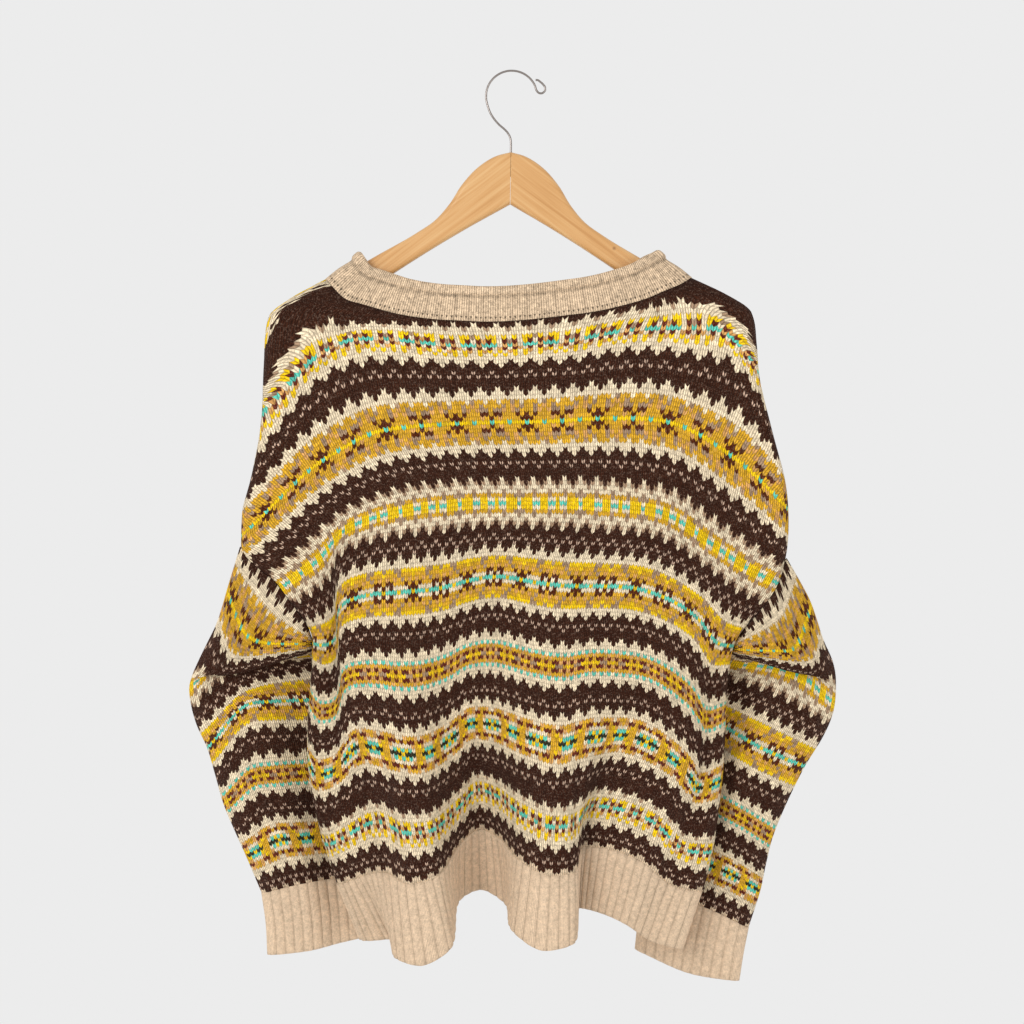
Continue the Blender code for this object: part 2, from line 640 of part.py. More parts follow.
def main():
    """Builds the jumper and its hanger."""
    for item in list(bpy.data.objects):
        bpy.data.objects.remove(item)
    pieces = new_collection("fair isle jumper")
    cutters = {"bore": build_bore(new_collection("cutters"))}
    materials = {name: new_material(name) for name in COLOURS}

    body = Body()
    back, front = panel_grid(False, body), panel_grid(True, body)
    sleeves = [Sleeve("left", LEFT_SLEEVE, back, front), Sleeve("right", RIGHT_SLEEVE, back, front)]
    build_panel("back_panel", back, materials["knit"], pieces)
    build_panel("front_panel", front, materials["knit"], pieces)
    build_hem("back_hem_rib", False, body, back, materials["rib"], pieces)
    build_hem("front_hem_rib", True, body, front, materials["rib"], pieces)
    for sleeve in sleeves:
        build_sleeve(sleeve, materials["knit"], pieces)
        build_cuff(sleeve, materials["rib"], pieces)
    build_collar(back, front, materials["rib"], pieces)
    for side in ("left", "right"):
        build_arm(side, body, materials["wood"], pieces, cutters)
    build_hook(materials["wire"], pieces)


main()
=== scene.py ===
"""A fair isle jumper on a wooden hanger: stranded knitting, rib bands, light wood and a wire hook.

Everything is in the frame's metres and axes. The cloth lies on the same courses and folds as the solids
that it stands for, drawn stitch by stitch. Lengths below are in millimetres unless a name says otherwise. A
course is a height down the knitting, a wale is one column of stitches, and each stitch has two legs.
"""

from __future__ import annotations

import logging
import math
from dataclasses import dataclass, field
from enum import Enum
from functools import partial
from typing import Callable, NamedTuple

import bmesh
import bpy
import numpy as np
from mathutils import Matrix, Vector
from numpy.typing import ArrayLike

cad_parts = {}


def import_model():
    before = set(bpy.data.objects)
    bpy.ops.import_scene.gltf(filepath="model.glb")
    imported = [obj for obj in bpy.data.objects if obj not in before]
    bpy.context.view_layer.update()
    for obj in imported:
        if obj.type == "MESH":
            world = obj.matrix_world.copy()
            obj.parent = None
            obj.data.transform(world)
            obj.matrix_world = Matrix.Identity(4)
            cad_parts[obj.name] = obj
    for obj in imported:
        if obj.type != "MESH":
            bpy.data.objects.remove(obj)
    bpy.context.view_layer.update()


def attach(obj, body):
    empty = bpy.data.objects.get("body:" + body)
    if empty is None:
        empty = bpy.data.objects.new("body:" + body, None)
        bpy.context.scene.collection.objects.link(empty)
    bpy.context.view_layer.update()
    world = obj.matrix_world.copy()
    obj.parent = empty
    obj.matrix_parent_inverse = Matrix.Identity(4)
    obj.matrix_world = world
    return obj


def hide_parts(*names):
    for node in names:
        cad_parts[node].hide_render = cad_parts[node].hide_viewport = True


LOG = logging.getLogger("jumper")
MM, CM = 0.001, 0.01
Array = np.ndarray
Colour = tuple[float, float, float, float]
Pair, Triple = tuple[float, float], tuple[float, float, float]


class Named(Enum):
    """A choice whose name is part of its pieces' names."""

    @property
    def word(self) -> str:
        """The name as the pieces carry it."""
        return self.name.lower()


class Side(Named):
    """The two sides of the garment as it hangs before the viewer, with the sign of x there."""

    LEFT = -1
    RIGHT = 1


class Face(Named):
    """The two panels of the body, with the sign of y there: the back one is turned to the viewer."""

    BACK = -1
    FRONT = 1


class Slot(Enum):
    """The record's material slots."""

    STRANDED = "stranded_knit"
    RIB = "rib_knit"
    COLLAR = "collar_rib"
    WOOD = "hanger_wood"
    WIRE = "hook_wire"


class BodyRow(NamedTuple):
    """The body at one course: half its depth, and at each station its place across and below and its fold."""

    name: str
    course: float
    half: float
    across: tuple[float, ...]
    below: tuple[float, ...]
    fold: tuple[float, ...]


class SleeveRow(NamedTuple):
    """A sleeve at one course from the armhole: edges and middle as (across, below), depth and thickness."""

    name: str
    course: float
    outer: Pair
    middle: Pair
    inner: Pair
    near: tuple[float, ...]  # depth of the near side at SLEEVE_DEPTH_SHARES of the way in
    thickness: float


# The cloth: seam gap, thickness of the knitting and of the ribs, a rib's height, stitches across a panel.
SEAM, KNIT, RIB_WALL, RIB_RELIEF, WALES = 0.3, 2.6, 2.6, 1.0, 144
# The wales where the hung cloth turns.
STATIONS = (0, 6, 12, 24, 31, 38, 52, 60, 67, 82, 89, 96, 108, 126, 135, 144)
FLAT = (0,) * len(STATIONS)
BODY = (
    BodyRow("neck edge", -26, 14,
            (-174, -166, -158, -138, -121, -105, -68, -47, -24, 26, 51, 75, 114, 145, 157, 168),
            (195, 204, 212, 219, 224, 228, 233, 234, 235, 232, 229, 226, 217, 205, 200, 194),
            FLAT),
    BodyRow("shoulder", -12, 15,
            (-227, -207, -186, -150, -130, -111, -70, -47, -23, 27, 52, 76, 117, 159, 188, 223),
            (230, 223, 220, 230, 232, 235, 240, 241, 241, 239, 236, 232, 224, 215, 212, 225),
            FLAT),
    BodyRow("first band", 22, 16,
            (-233, -219, -204, -172, -149, -125, -75, -47, -22, 31, 56, 80, 122, 185, 212, 230),
            (319, 303, 287, 260, 251, 250, 255, 257, 257, 254, 252, 247, 241, 240, 256, 282),
            FLAT),
    BodyRow("upper chest", 101, 17,
            (-254, -236, -219, -183, -159, -135, -80, -48, -20, 39, 67, 95, 143, 206, 233, 258),
            (434, 417, 400, 368, 353, 340, 331, 329, 328, 327, 325, 324, 327, 360, 383, 410),
            (0, 0, 0, 0, -2, -3, -3, -3, -3, -3, -2, 0, 0, 0, 0, 0)),
    BodyRow("chest", 180, 17,
            (-216, -198, -182, -152, -129, -105, -57, -29, -5, 48, 73, 99, 140, 193, 219, 248),
            (482, 469, 457, 426, 417, 411, 405, 403, 403, 403, 404, 406, 412, 446, 463, 478),
            (0, 0, 2, -5, -6, -6, -4, -3, -4, -5, -6, -6, -5, -2, 0, 0)),
    BodyRow("underarm", 257, 17,
            (-186, -176, -165, -156, -132, -107, -62, -37, -15, 32, 55, 78, 119, 172, 191, 207),
            (535, 537, 532, 498, 490, 488, 483, 476, 473, 480, 482, 482, 485, 512, 535, 538),
            (0, 2, 4, -9, -9, -8, -2, 0, -1, -6, -8, -8, -8, -6, 4, 0)),
    BodyRow("waist", 410, 17,
            (-191, -182, -167, -139, -116, -92, -58, -37, -19, 19, 43, 67, 102, 156, 175, 196),
            (642, 657, 654, 629, 633, 637, 624, 609, 610, 622, 627, 621, 619, 647, 670, 662),
            (2, 4, 2, -8, -18, -24, 2, 12, 6, -18, -26, -24, -8, -12, 4, 2)),
    BodyRow("last band", 486, 17,
            (-175, -168, -157, -123, -101, -80, -51, -32, -16, 15, 37, 56, 73, 133, 159, 187),
            (723, 722, 716, 701, 709, 708, 689, 673, 677, 695, 703, 701, 686, 702, 727, 731),
            (3, 3, 0, -2, -28, -32, 8, 24, 14, -22, -36, -34, -2, -12, 4, 3)),
    BodyRow("hem", 608, 16,
            (-143, -133, -112, -106, -84, -57, -51, -29, -7, 3, 30, 56, 62, 105, 129, 160),
            (810, 812, 810, 823, 828, 813, 777, 768, 778, 800, 814, 808, 781, 795, 812, 821),
            (4, 4, 2, -34, -50, -40, 18, 36, 24, -32, -52, -42, 0, -6, 4, 4)),
)
NECK_COURSE, RIB_COURSE, UNDERARM = -26, 532, 250
ARMHOLE_TOP = {Side.LEFT: 112, Side.RIGHT: 150}
PANEL_COURSES = (-26, -19, -12, 5, 22, 52, 82, 112, 131, 150, 170, 190, 210, 230, 250,
                 280, 320, 360, 400, 440, 485, 532)
SLEEVE_DEPTH_SHARES = (0, 0.4, 0.7, 1)
LEFT_SLEEVE = (
    SleeveRow("upper arm", 32, (-265, 482), (-240, 528), (-188, 535), (-13, -17, -15, -12), 26),
    SleeveRow("over the elbow", 64, (-277, 519), (-260, 551), (-186.5, 539), (-9, -16, -11, -7), 29),
    SleeveRow("lip of the fold", 90, (-294, 553), (-277, 564), (-187, 542), (-5, -12, -4, 0), 32),
    SleeveRow("inside the fold", 115, (-303, 579), (-279, 557), (-184, 546), (0, 2, 10, 12), 34),
    SleeveRow("under the fold", 150, (-298, 609), (-255, 571), (-178, 553), (8, 4, 20, 25), 33),
    SleeveRow("forearm", 190, (-287, 635), (-241, 591), (-160, 590), (12, 6, 27, 31), 32),
    SleeveRow("low forearm", 267, (-272, 687), (-238, 658), (-150, 656), (14, 8, 29, 31), 30),
    SleeveRow("above the cuff", 343, (-251, 736), (-213, 718), (-144, 718), (16, 12, 30, 32), 28),
    SleeveRow("cuff seam", 389, (-236, 771), (-199, 762), (-141, 757), (16, 15, 31, 32), 26),
    SleeveRow("cuff end", 465, (-230, 830), (-189, 825), (-137, 814), (16, 17, 31, 32), 24),
)
RIGHT_SLEEVE = (
    SleeveRow("upper arm", 32, (278, 495), (256, 539), (208, 540), (-13, -17, -15, -12), 26),
    SleeveRow("over the elbow", 64, (291, 532), (280, 555), (207, 543), (-9, -16, -11, -7), 29),
    SleeveRow("lip of the fold", 84, (302, 558), (285, 564), (207, 544.5), (-5, -12, -4, 0), 32),
    SleeveRow("inside the fold", 103, (304, 582), (268, 554), (205, 550), (1, 2, 10, 12), 34),
    SleeveRow("under the fold", 125, (302, 602), (253, 572), (200, 559), (9, 4, 20, 25), 33),
    SleeveRow("brown rows", 150, (294, 622), (246, 596), (190, 576), (12, 5, 26, 30), 32),
    SleeveRow("forearm", 190, (276, 652), (237, 635), (176, 600), (13, 6, 27, 31), 32),
    SleeveRow("low forearm", 267, (246, 718), (221, 701), (157, 668), (15, 12, 29, 31), 30),
    SleeveRow("above the cuff", 343, (234, 769), (209, 753), (141, 731), (16, 18, 30, 32), 28),
    SleeveRow("cuff seam", 389, (223, 804), (195, 790), (127, 768), (18, 24, 31, 32), 26),
    SleeveRow("cuff end", 465, (214, 855), (167, 848), (118, 827), (20, 28, 31, 32), 24),
)
CUFF_COURSE, CUFF_END = 389, 465
SLEEVE_COURSES = (0, 16, 32, 48, 64, 80, 90, 102, 115, 132, 150, 190, 228, 267, 305, 343, 389)

# Knitting gauge.
ROW = 3.95  # height of one row of stitches
LEG_DROP = 0.6  # rows that a stitch's leg slants down from its side to its middle
ROW_WANDER = 0.06  # rows that a stitch strays from its row
SEAM_COVER = 0.7  # the last row reaches over the seam to the rib
EYELET_ROW = 1.6  # the collar's row of open loops, which links it on
LAP = 3  # points of a closed line that are repeated at either end, so that a curve is smooth across its start


def linear(code: str) -> Colour:
    """Linear colour of a hex code.

    Args:
        code: "#RRGGBB".

    Returns:
        Red, green, blue and alpha for a shader.
    """
    parts = [int(code[n:n + 2], 16) / 255 for n in (1, 3, 5)]
    return (*[part / 12.92 if part <= 0.04045 else ((part + 0.055) / 1.055) ** 2.4 for part in parts], 1.0)


class Yarn(Enum):
    """The wool's colours, each with its letter in the charts."""

    BROWN = ("b", "#3B1F13")
    CREAM = ("c", "#F0DCBA")
    TAUPE = ("t", "#A98B6F")
    GOLD = ("g", "#DDA82C")
    YELLOW = ("y", "#F8CC14")
    TURQUOISE = ("q", "#62CDB6")
    PEACH = ("p", "#DBA35E")
    MAROON = ("m", "#66281A")
    DARK = ("d", "#58270F")
    MOSS = ("k", "#2C2C1C")
    FLECK = ("f", "#C0A28C")
    OAT = ("r", "#E2C8A8")

    @property
    def letter(self) -> int:
        """The yarn's letter, as its character code."""
        return ord(self.value[0])

    @property
    def colour(self) -> Colour:
        """The yarn's linear colour."""
        return linear(self.value[1])


@dataclass(frozen=True)
class Band:
    """A patterned band: its middle row, how far above it the first one is, its rows' repeats, its place."""

    name: str
    middle: int
    above: int
    chart: tuple[str, ...]
    wale: int  # where the chart's first stitch falls, from the panel's middle


def mirrored(*rows: str) -> tuple[str, ...]:
    """A chart whose lower half repeats its upper half, from the top row down to the middle row."""
    return rows + rows[-2::-1]


CHECKS = ("bbcbbbcbbbcb", "tccctccctccc", "cccccccccccc", "cycyytycyycy", "tmcymcmpmycm", "qpcqqqpqqqcp",
          "cmpcmcmcmcpm", "pycypcypycyc", "cycyccyccycy", "cccccccccccc", "bcccbcccbccc", "bbcbbbcbbbcb")
STARS = mirrored("bbcbbbcbbbcbbbcb", "bcccbcccbcccbccc", "cccccccccccccccc", "gggctggcggcggtgc",
                 "ggtgpgtggggtgpgt", "ggtpgpttgttpgptg", "dgdgggddgddgggdg", "ddggggpgdgpggggd",
                 "qyyyqyyyqyyyqyyy")
BEADS = mirrored("cbbbcbbbcbbbcbbb", "ctbtctbtctbtctbt", "cctccctccctccctc", "tccctccctccctccc",
                 "ttggtgggtgggtggt", "cyyyccyyccyccyyy", "qyyyqqyyqqyqqyyy")
TREES = mirrored("cbbbcbbbcbbbcbbb", "ccbcccbcccbcccbc", "cccccccccccccccc", "tyyttyyyyyyyttyy",
                 "ygggtgggygggtggg", "gpgpgtgpgpgpgtgp", "gddgggdgdgdgggdd", "dcdccccdddccccdc",
                 "yqqqyqqqyqqqyqqq")
DIAMONDS = mirrored("bbcbbbcbbbcb", "bcccbcccbccc", "cccccccccccc", "cqcqcqcqcqcq", "gpgggpgpgggp",
                    "pmpmmgmgmmpm", "ygttyygyyttg")
CROSSES = mirrored("bbcbbbcbbbcbbbcb", "bcccbcccbcccbccc", "cccccccccccccccc", "cpggpcpggpcpggpc",
                   "mgmmgmmpgpmmgmmg", "cccpgypcccpygpcc", "qyqcggyqqqyggcqy", "ykkkggkkykkggkkk")
BANDS = (
    Band("checks", 0, 5, CHECKS, 0),
    Band("stars", 20, 8, STARS, 3),
    Band("beads", 40, 6, BEADS, -2),
    Band("trees", 59, 8, TREES, -6),
    Band("diamonds", 79, 6, DIAMONDS, 6),
    Band("crosses", 98, 7, CROSSES, -5),
    Band("checks again", 117, 5, CHECKS, 0),
)
# Each row: row of single light stitches on the brown ground, wales between them, the first one's wale.
FLECKS = ((8, 4, 0), (9, 2, 1), (30, 2, 1), (31, 4, 0), (48, 4, 0), (49, 2, 1), (50, 4, 2), (69, 2, 1),
          (70, 4, 0), (88, 4, 0), (89, 2, 1), (107, 2, 1), (108, 4, 0), (125, 4, 0), (126, 2, 1))


@dataclass(frozen=True)
class Crease:
    """A soft crease that runs across a panel: where it starts and ends, how wide and how deep it is."""

    name: str
    start: Pair  # share of the width, course
    end: Pair
    width: float
    depth: float


CREASES = (
    Crease("from the left shoulder", (0.10, 40), (0.27, 190), 13, 2.2),
    Crease("beside it", (0.16, 60), (0.20, 240), 11, -1.6),
    Crease("over the left armhole", (0.04, 120), (0.20, 255), 12, 2.4),
    Crease("from the right shoulder", (0.90, 30), (0.74, 175), 14, 2.0),
    Crease("beside the right one", (0.84, 70), (0.80, 230), 11, -1.8),
    Crease("over the right armhole", (0.97, 150), (0.83, 262), 12, 2.4),
    Crease("left of the middle", (0.33, 150), (0.30, 330), 15, -1.4),
    Crease("right of the middle", (0.66, 170), (0.70, 340), 15, -1.4),
    Crease("left side", (0.06, 300), (0.10, 470), 10, 2.0),
    Crease("right side", (0.93, 290), (0.90, 450), 10, 2.0),
    Crease("beside the left lobe", (0.205, 390), (0.185, 560), 6, -3.0),
    Crease("beside the right lobe", (0.665, 400), (0.685, 560), 6, -3.0),
)


def through(knots: ArrayLike, values: ArrayLike, at: ArrayLike) -> Array:
    """Follows a smooth curve through values at knots, with no overshoot.

    Args:
        knots: the knots' places, rising.
        values: a value, or a grid of values, for each knot.
        at: the places asked for.

    Returns:
        The values there; beyond the knots the first or the last value.
    """
    knots, values = np.asarray(knots, float), np.asarray(values, float)
    slopes = np.gradient(values, knots, axis=0)
    extra = (1,) * (values.ndim - 1)
    secants = np.diff(values, axis=0) / np.diff(knots).reshape(-1, *extra)
    before, after = secants[:-1], secants[1:]
    steepest = 3 * np.minimum(np.abs(before), np.abs(after))
    slopes[1:-1] = np.where(before * after > 0, np.clip(slopes[1:-1], -steepest, steepest), 0)
    at = np.clip(at, knots[0], knots[-1])
    span = np.clip(np.searchsorted(knots, at, side="right") - 1, 0, len(knots) - 2)
    width = knots[span + 1] - knots[span]
    share = ((at - knots[span]) / width).reshape(-1, *extra)
    width = width.reshape(-1, *extra)
    start = (1 + 2 * share) * (1 - share) ** 2 * values[span]
    leave = share * (1 - share) ** 2 * width * slopes[span]
    arrive = share**2 * (share - 1) * width * slopes[span + 1]
    end = share**2 * (3 - 2 * share) * values[span + 1]
    return start + leave + arrive + end


def rounded(share: Array) -> Array:
    """A quarter ellipse: 0 at an edge, 1 from share 1 on."""
    return np.sqrt(1 - (1 - np.clip(share, 0, 1)) ** 2)


def unit(vectors: Array) -> Array:
    """The vectors at length 1."""
    return vectors / np.linalg.norm(vectors, axis=-1, keepdims=True)


def outward(points: Array, towards: int, closed: bool = False) -> Array:
    """Normals of a grid whose rows run down and columns run across or round.

    Args:
        points: the grid.
        towards: 1 or -1, the way that they point.
        closed: whether the last column meets the first.

    Returns:
        Unit normals, a grid of the same shape.
    """
    down = np.gradient(points, axis=0)
    if closed:
        across = (np.roll(points, -1, axis=1) - np.roll(points, 1, axis=1)) / 2
    else:
        across = np.gradient(points, axis=1)
    return unit(np.cross(across, down) * towards)


def along_row(shares: Array, values: Array, at: Array) -> Array:
    """Straight-line values between the columns of one row."""
    return np.stack([np.interp(at, shares, values[:, axis]) for axis in range(3)], 1)


def looped(ring: Array) -> Array:
    """A ring of points with its first one again at the end."""
    return np.concatenate([ring, ring[:1]])


def lapped(ring: Array) -> Array:
    """A ring of points with its last ones also before it and its first ones also after it."""
    return np.concatenate([ring[-LAP:], ring, ring[:LAP + 1]])


def travelled(line: Array) -> Array:
    """How far along a line each of its points is."""
    return np.concatenate([[0], np.cumsum(np.linalg.norm(np.diff(line, axis=0), axis=1))])


def ribbed(ribs: int, steps: int, fullness: float = 0.45) -> Array:
    """Height of ribbing across its columns, 0 to 1: round ridges with narrow grooves between them."""
    return np.abs(np.sin(math.pi * np.arange(ribs * steps) / steps)) ** fullness


def quads(rows: int, columns: int, ring_rows: bool = False, ring_columns: bool = False) -> Array:
    """Joins the points of a grid to faces.

    Args:
        rows: rows of points.
        columns: columns of points.
        ring_rows: whether the last row meets the first.
        ring_columns: whether the last column meets the first.

    Returns:
        The four corners' numbers of each face, as a grid of faces.
    """
    r, c = np.meshgrid(np.arange(rows if ring_rows else rows - 1),
                       np.arange(columns if ring_columns else columns - 1), indexing="ij")
    below, beside = (r + 1) % rows, (c + 1) % columns
    return np.stack([r * columns + c, r * columns + beside,
                     below * columns + beside, below * columns + c], -1)


class PanelGrid(NamedTuple):
    """A body panel as its solid has it: shares of the width, points, and unit normals."""

    share: Array
    points: Array
    normals: Array


@dataclass(frozen=True)
class Body:
    """The hung body: one smooth surface for each face, over shares of the width and courses down."""

    side_roll: float = 0.035  # share of the width in which a closed side turns
    side_zone: float = 0.12  # share of the width beside each edge, whose stitches reach round the side
    armhole_half_depth: float = 14
    armhole_curve: float = 0.75
    neck_drop: float = 74  # how much deeper the front's neck is
    neck_curve: float = 2.4
    front_folds: float = 0.45  # strength of the folds on the far face
    fold_fade: float = 0.12  # share of the width in which they reach it
    side_shares: tuple[float, ...] = (0.0, 0.006, 0.015, 0.026)
    inner_shares: Pair = (0.045, 0.955)
    columns: tuple[int, int] = (36, 23)  # of the back and of the front
    shares: Array = field(default_factory=lambda: np.array(STATIONS) / WALES)
    courses: Array = field(default_factory=lambda: np.array([row.course for row in BODY]))

    def opened(self, share: Array, course: Array) -> Array:
        """Tells how far a side stands open into its sleeve.

        Args:
            share: shares of the width, which say the side.
            course: courses down the body.

        Returns:
            0 at the armhole's ends and beyond, 1 at its middle.
        """
        sides = []
        for top in ARMHOLE_TOP.values():
            way = np.clip((course - top) / (UNDERARM - top), 0, 1)
            sides.append(np.clip(np.sin(math.pi * way), 0, 1) ** self.armhole_curve)
        return np.where(share < 0.5, *sides)

    def spread(self, share: Array, course: Array) -> Array:
        """Keeps evenly spaced stitches even round the sides, where these are closed.

        Args:
            share: evenly spaced places over the width.
            course: their courses.

        Returns:
            Their shares of the width as the surface counts them.
        """
        roll, zone, quarter = self.side_roll, self.side_zone, math.pi / 2
        extra = (quarter - 1) * roll
        near = np.minimum(share, 1 - share)
        way = np.where(near < zone, near * (zone + extra) / zone, near + extra)
        turned = roll * (1 - np.cos(np.minimum(way / roll, quarter)))
        turned = np.where(way < quarter * roll, turned, way - extra)
        opened = self.opened(share, course)
        near = opened * near + (1 - opened) * turned
        return np.where(share < 0.5, near, 1 - near)

    def tabled(self, column: str, share: Array, course: Array) -> Array:
        """Reads a column of the body's rows anywhere.

        Args:
            column: "across", "below" or "fold".
            share: n shares of the width.
            course: m by n courses.

        Returns:
            m by n values.
        """
        across = through(self.shares, np.array([getattr(row, column) for row in BODY]).T, share)
        return np.stack([through(self.courses, across[n], course[:, n]) for n in range(len(share))], 1)

    def closing(self, share: Array, course: Array) -> tuple[Array, Array]:
        """Rounds the panel to the body's middle at its sides.

        Args:
            share: n shares of the width.
            course: m by n courses.

        Returns:
            How far the panel stands from the body's middle, and how far its side stands open.
        """
        half = through(self.courses, [row.half for row in BODY], course.ravel()).reshape(course.shape)
        opened = self.opened(share, course) * self.armhole_half_depth / half
        return half * (opened + (1 - opened) * rounded(np.minimum(share, 1 - share) / self.side_roll)), opened

    def surface(self, share: Array, course: Array, face: Face) -> tuple[Array, Array]:
        """Lays out a face of the body.

        Args:
            share: n shares of the width.
            course: m by n courses.
            face: the face.

        Returns:
            Points and unit normals, both m by n.
        """
        folds = self.tabled("fold", share, course)
        if face is Face.FRONT:
            fade = rounded(np.minimum(share, 1 - share) / self.fold_fade)
            folds = folds * (1 - (1 - self.front_folds) * fade)
        depth, opened = self.closing(share, course)
        points = np.stack([self.tabled("across", share, course), folds + face.value * (SEAM / 2 + depth),
                           -self.tabled("below", share, course)], 2)
        normals = outward(points, face.value)
        for edge in (0, -1):
            normals[:, edge, 1] *= opened[:, edge]
        return points, unit(normals)

    def neck_edge(self, share: Array) -> Array:
        """The course of the front's neck edge across its width."""
        return (NECK_COURSE
                + self.neck_drop * np.sin(math.pi * np.minimum(share, 1 - share)) ** self.neck_curve)

    def panel(self, face: Face) -> PanelGrid:
        """Lays out a panel from the neck to the rib.

        Args:
            face: the panel's face.

        Returns:
            The panel's grid.
        """
        side = np.array(self.side_shares)
        columns = self.columns[face is Face.FRONT] + 1
        share = np.concatenate([side, np.linspace(*self.inner_shares, columns), 1 - side[::-1]])
        rows = np.repeat(np.array(PANEL_COURSES, float)[:, None], len(share), 1)
        if face is Face.FRONT:
            top, end = self.neck_edge(share), ARMHOLE_TOP[Side.LEFT]
            squeezed = top + (rows - NECK_COURSE) * (end - top) / (end - NECK_COURSE)
            rows = np.where(rows < end, squeezed, rows)
        return PanelGrid(share, *self.surface(share, rows, face))


@dataclass
class Sleeve:
    """A hung sleeve from its armhole to its cuff's end, as rounds of points."""

    side: Side
    table: tuple[SleeveRow, ...]
    back: PanelGrid
    front: PanelGrid
    seam_gap: float = 0.6
    corner_step: float = 0.6  # how much further the seam's two ends are stepped off
    corner_turn: float = 0.8  # how far the wall turns towards the panels there
    roll: float = 0.16  # share of the width in which an edge turns

    def __post_init__(self) -> None:
        """Lays the sleeve's rounds and turns its first one into the panels."""
        top = ARMHOLE_TOP[self.side]
        self.rows = [n for n, course in enumerate(PANEL_COURSES) if top <= course <= UNDERARM]
        self.edge, self.within = (0, 4) if self.side is Side.LEFT else (-1, -5)
        self.seams = [self.seam(panel) for panel in (self.back, self.front)]
        self.chords = len(self.rows) - 1
        self.half = 2 * self.chords
        self.points = self.rounds(SLEEVE_COURSES, self.half)
        self.normals = self.outwards(self.points)
        self.mitre()

    def seam(self, panel: PanelGrid) -> Array:
        """Steps a panel's armhole edge off square to it.

        Args:
            panel: the panel.

        Returns:
            The sleeve's points beside that edge.
        """
        seam = panel.points[self.rows, self.edge]
        along = np.gradient(seam, axis=0)
        away = np.stack([along[:, 2], np.zeros(len(seam)), -along[:, 0]], 1)
        away *= np.sign(np.sum(away * (seam - panel.points[self.rows, self.within]), axis=1, keepdims=True))
        seam = seam + unit(away) * self.seam_gap
        seam[[0, -1]] += unit(away)[[0, -1]] * self.corner_step
        seam[[0, -1], 1] = 0
        return seam

    def armhole(self, half: int) -> Array:
        """Draws the first round from the two seams.

        Args:
            half: steps along each of them.

        Returns:
            The round's points.
        """
        places = np.linspace(0, self.chords, half + 1)
        near, far = (along_row(np.arange(self.chords + 1), seam, places) for seam in self.seams)
        return np.concatenate([near, far[-2:0:-1]])

    def drawn(self, row: SleeveRow, half: int) -> Array:
        """Draws one round of the table: its near side from outer to inner edge, and its far side back.

        Args:
            row: the table's row.
            half: steps along each side.

        Returns:
            The round's points.
        """
        share = np.linspace(0, 1, half + 1)
        first, second = math.dist(row.outer, row.middle), math.dist(row.middle, row.inner)
        near_line = through((0, first / (first + second), 1), (row.outer, row.middle, row.inner), share)
        far_line = through((0, 1), (row.outer, row.inner), share)
        near_depth = through(SLEEVE_DEPTH_SHARES, row.near, share)
        far_depth = row.near[0] + (row.near[3] - row.near[0]) * share + row.thickness
        turn = rounded(np.minimum(share, 1 - share) / self.roll)
        centre = (near_depth + far_depth) / 2
        near_side, far_side = (
            np.stack([line[:, 0], centre + (depth - centre) * turn, -line[:, 1]], 1)
            for line, depth in ((near_line, near_depth), (far_line, far_depth)))
        return np.concatenate([near_side, far_side[-2:0:-1]])

    def rounds(self, courses: ArrayLike, half: int) -> Array:
        """Draws rounds anywhere down the sleeve.

        Args:
            courses: courses from the armhole.
            half: steps along each side of a round.

        Returns:
            The rounds' points.
        """
        drawn = [self.armhole(half)] + [self.drawn(row, half) for row in self.table]
        return through([0] + [row.course for row in self.table], drawn, np.array(courses, float))

    def outwards(self, points: Array) -> Array:
        """Normals that point out of the tube."""
        return outward(points, self.side.value, closed=True)

    def mitre(self) -> None:
        """Turns the walls that meet at the armhole to the direction halfway between them."""
        count, first = 2 * self.half, self.normals[0]
        for panel, way in ((self.back, 1), (self.front, -1)):
            for corner, row in enumerate(self.rows):
                place = way * 2 * corner % count
                halfway = unit(panel.normals[row, self.edge] + first[place])
                panel.normals[row, self.edge] = halfway
                if 0 < corner < self.chords:
                    first[place] = halfway
                elif way > 0:
                    first[place] = unit(halfway + self.corner_turn * first[place])
        for place in range(1, count, 2):
            first[place] = unit(first[place - 1] + first[(place + 1) % count])


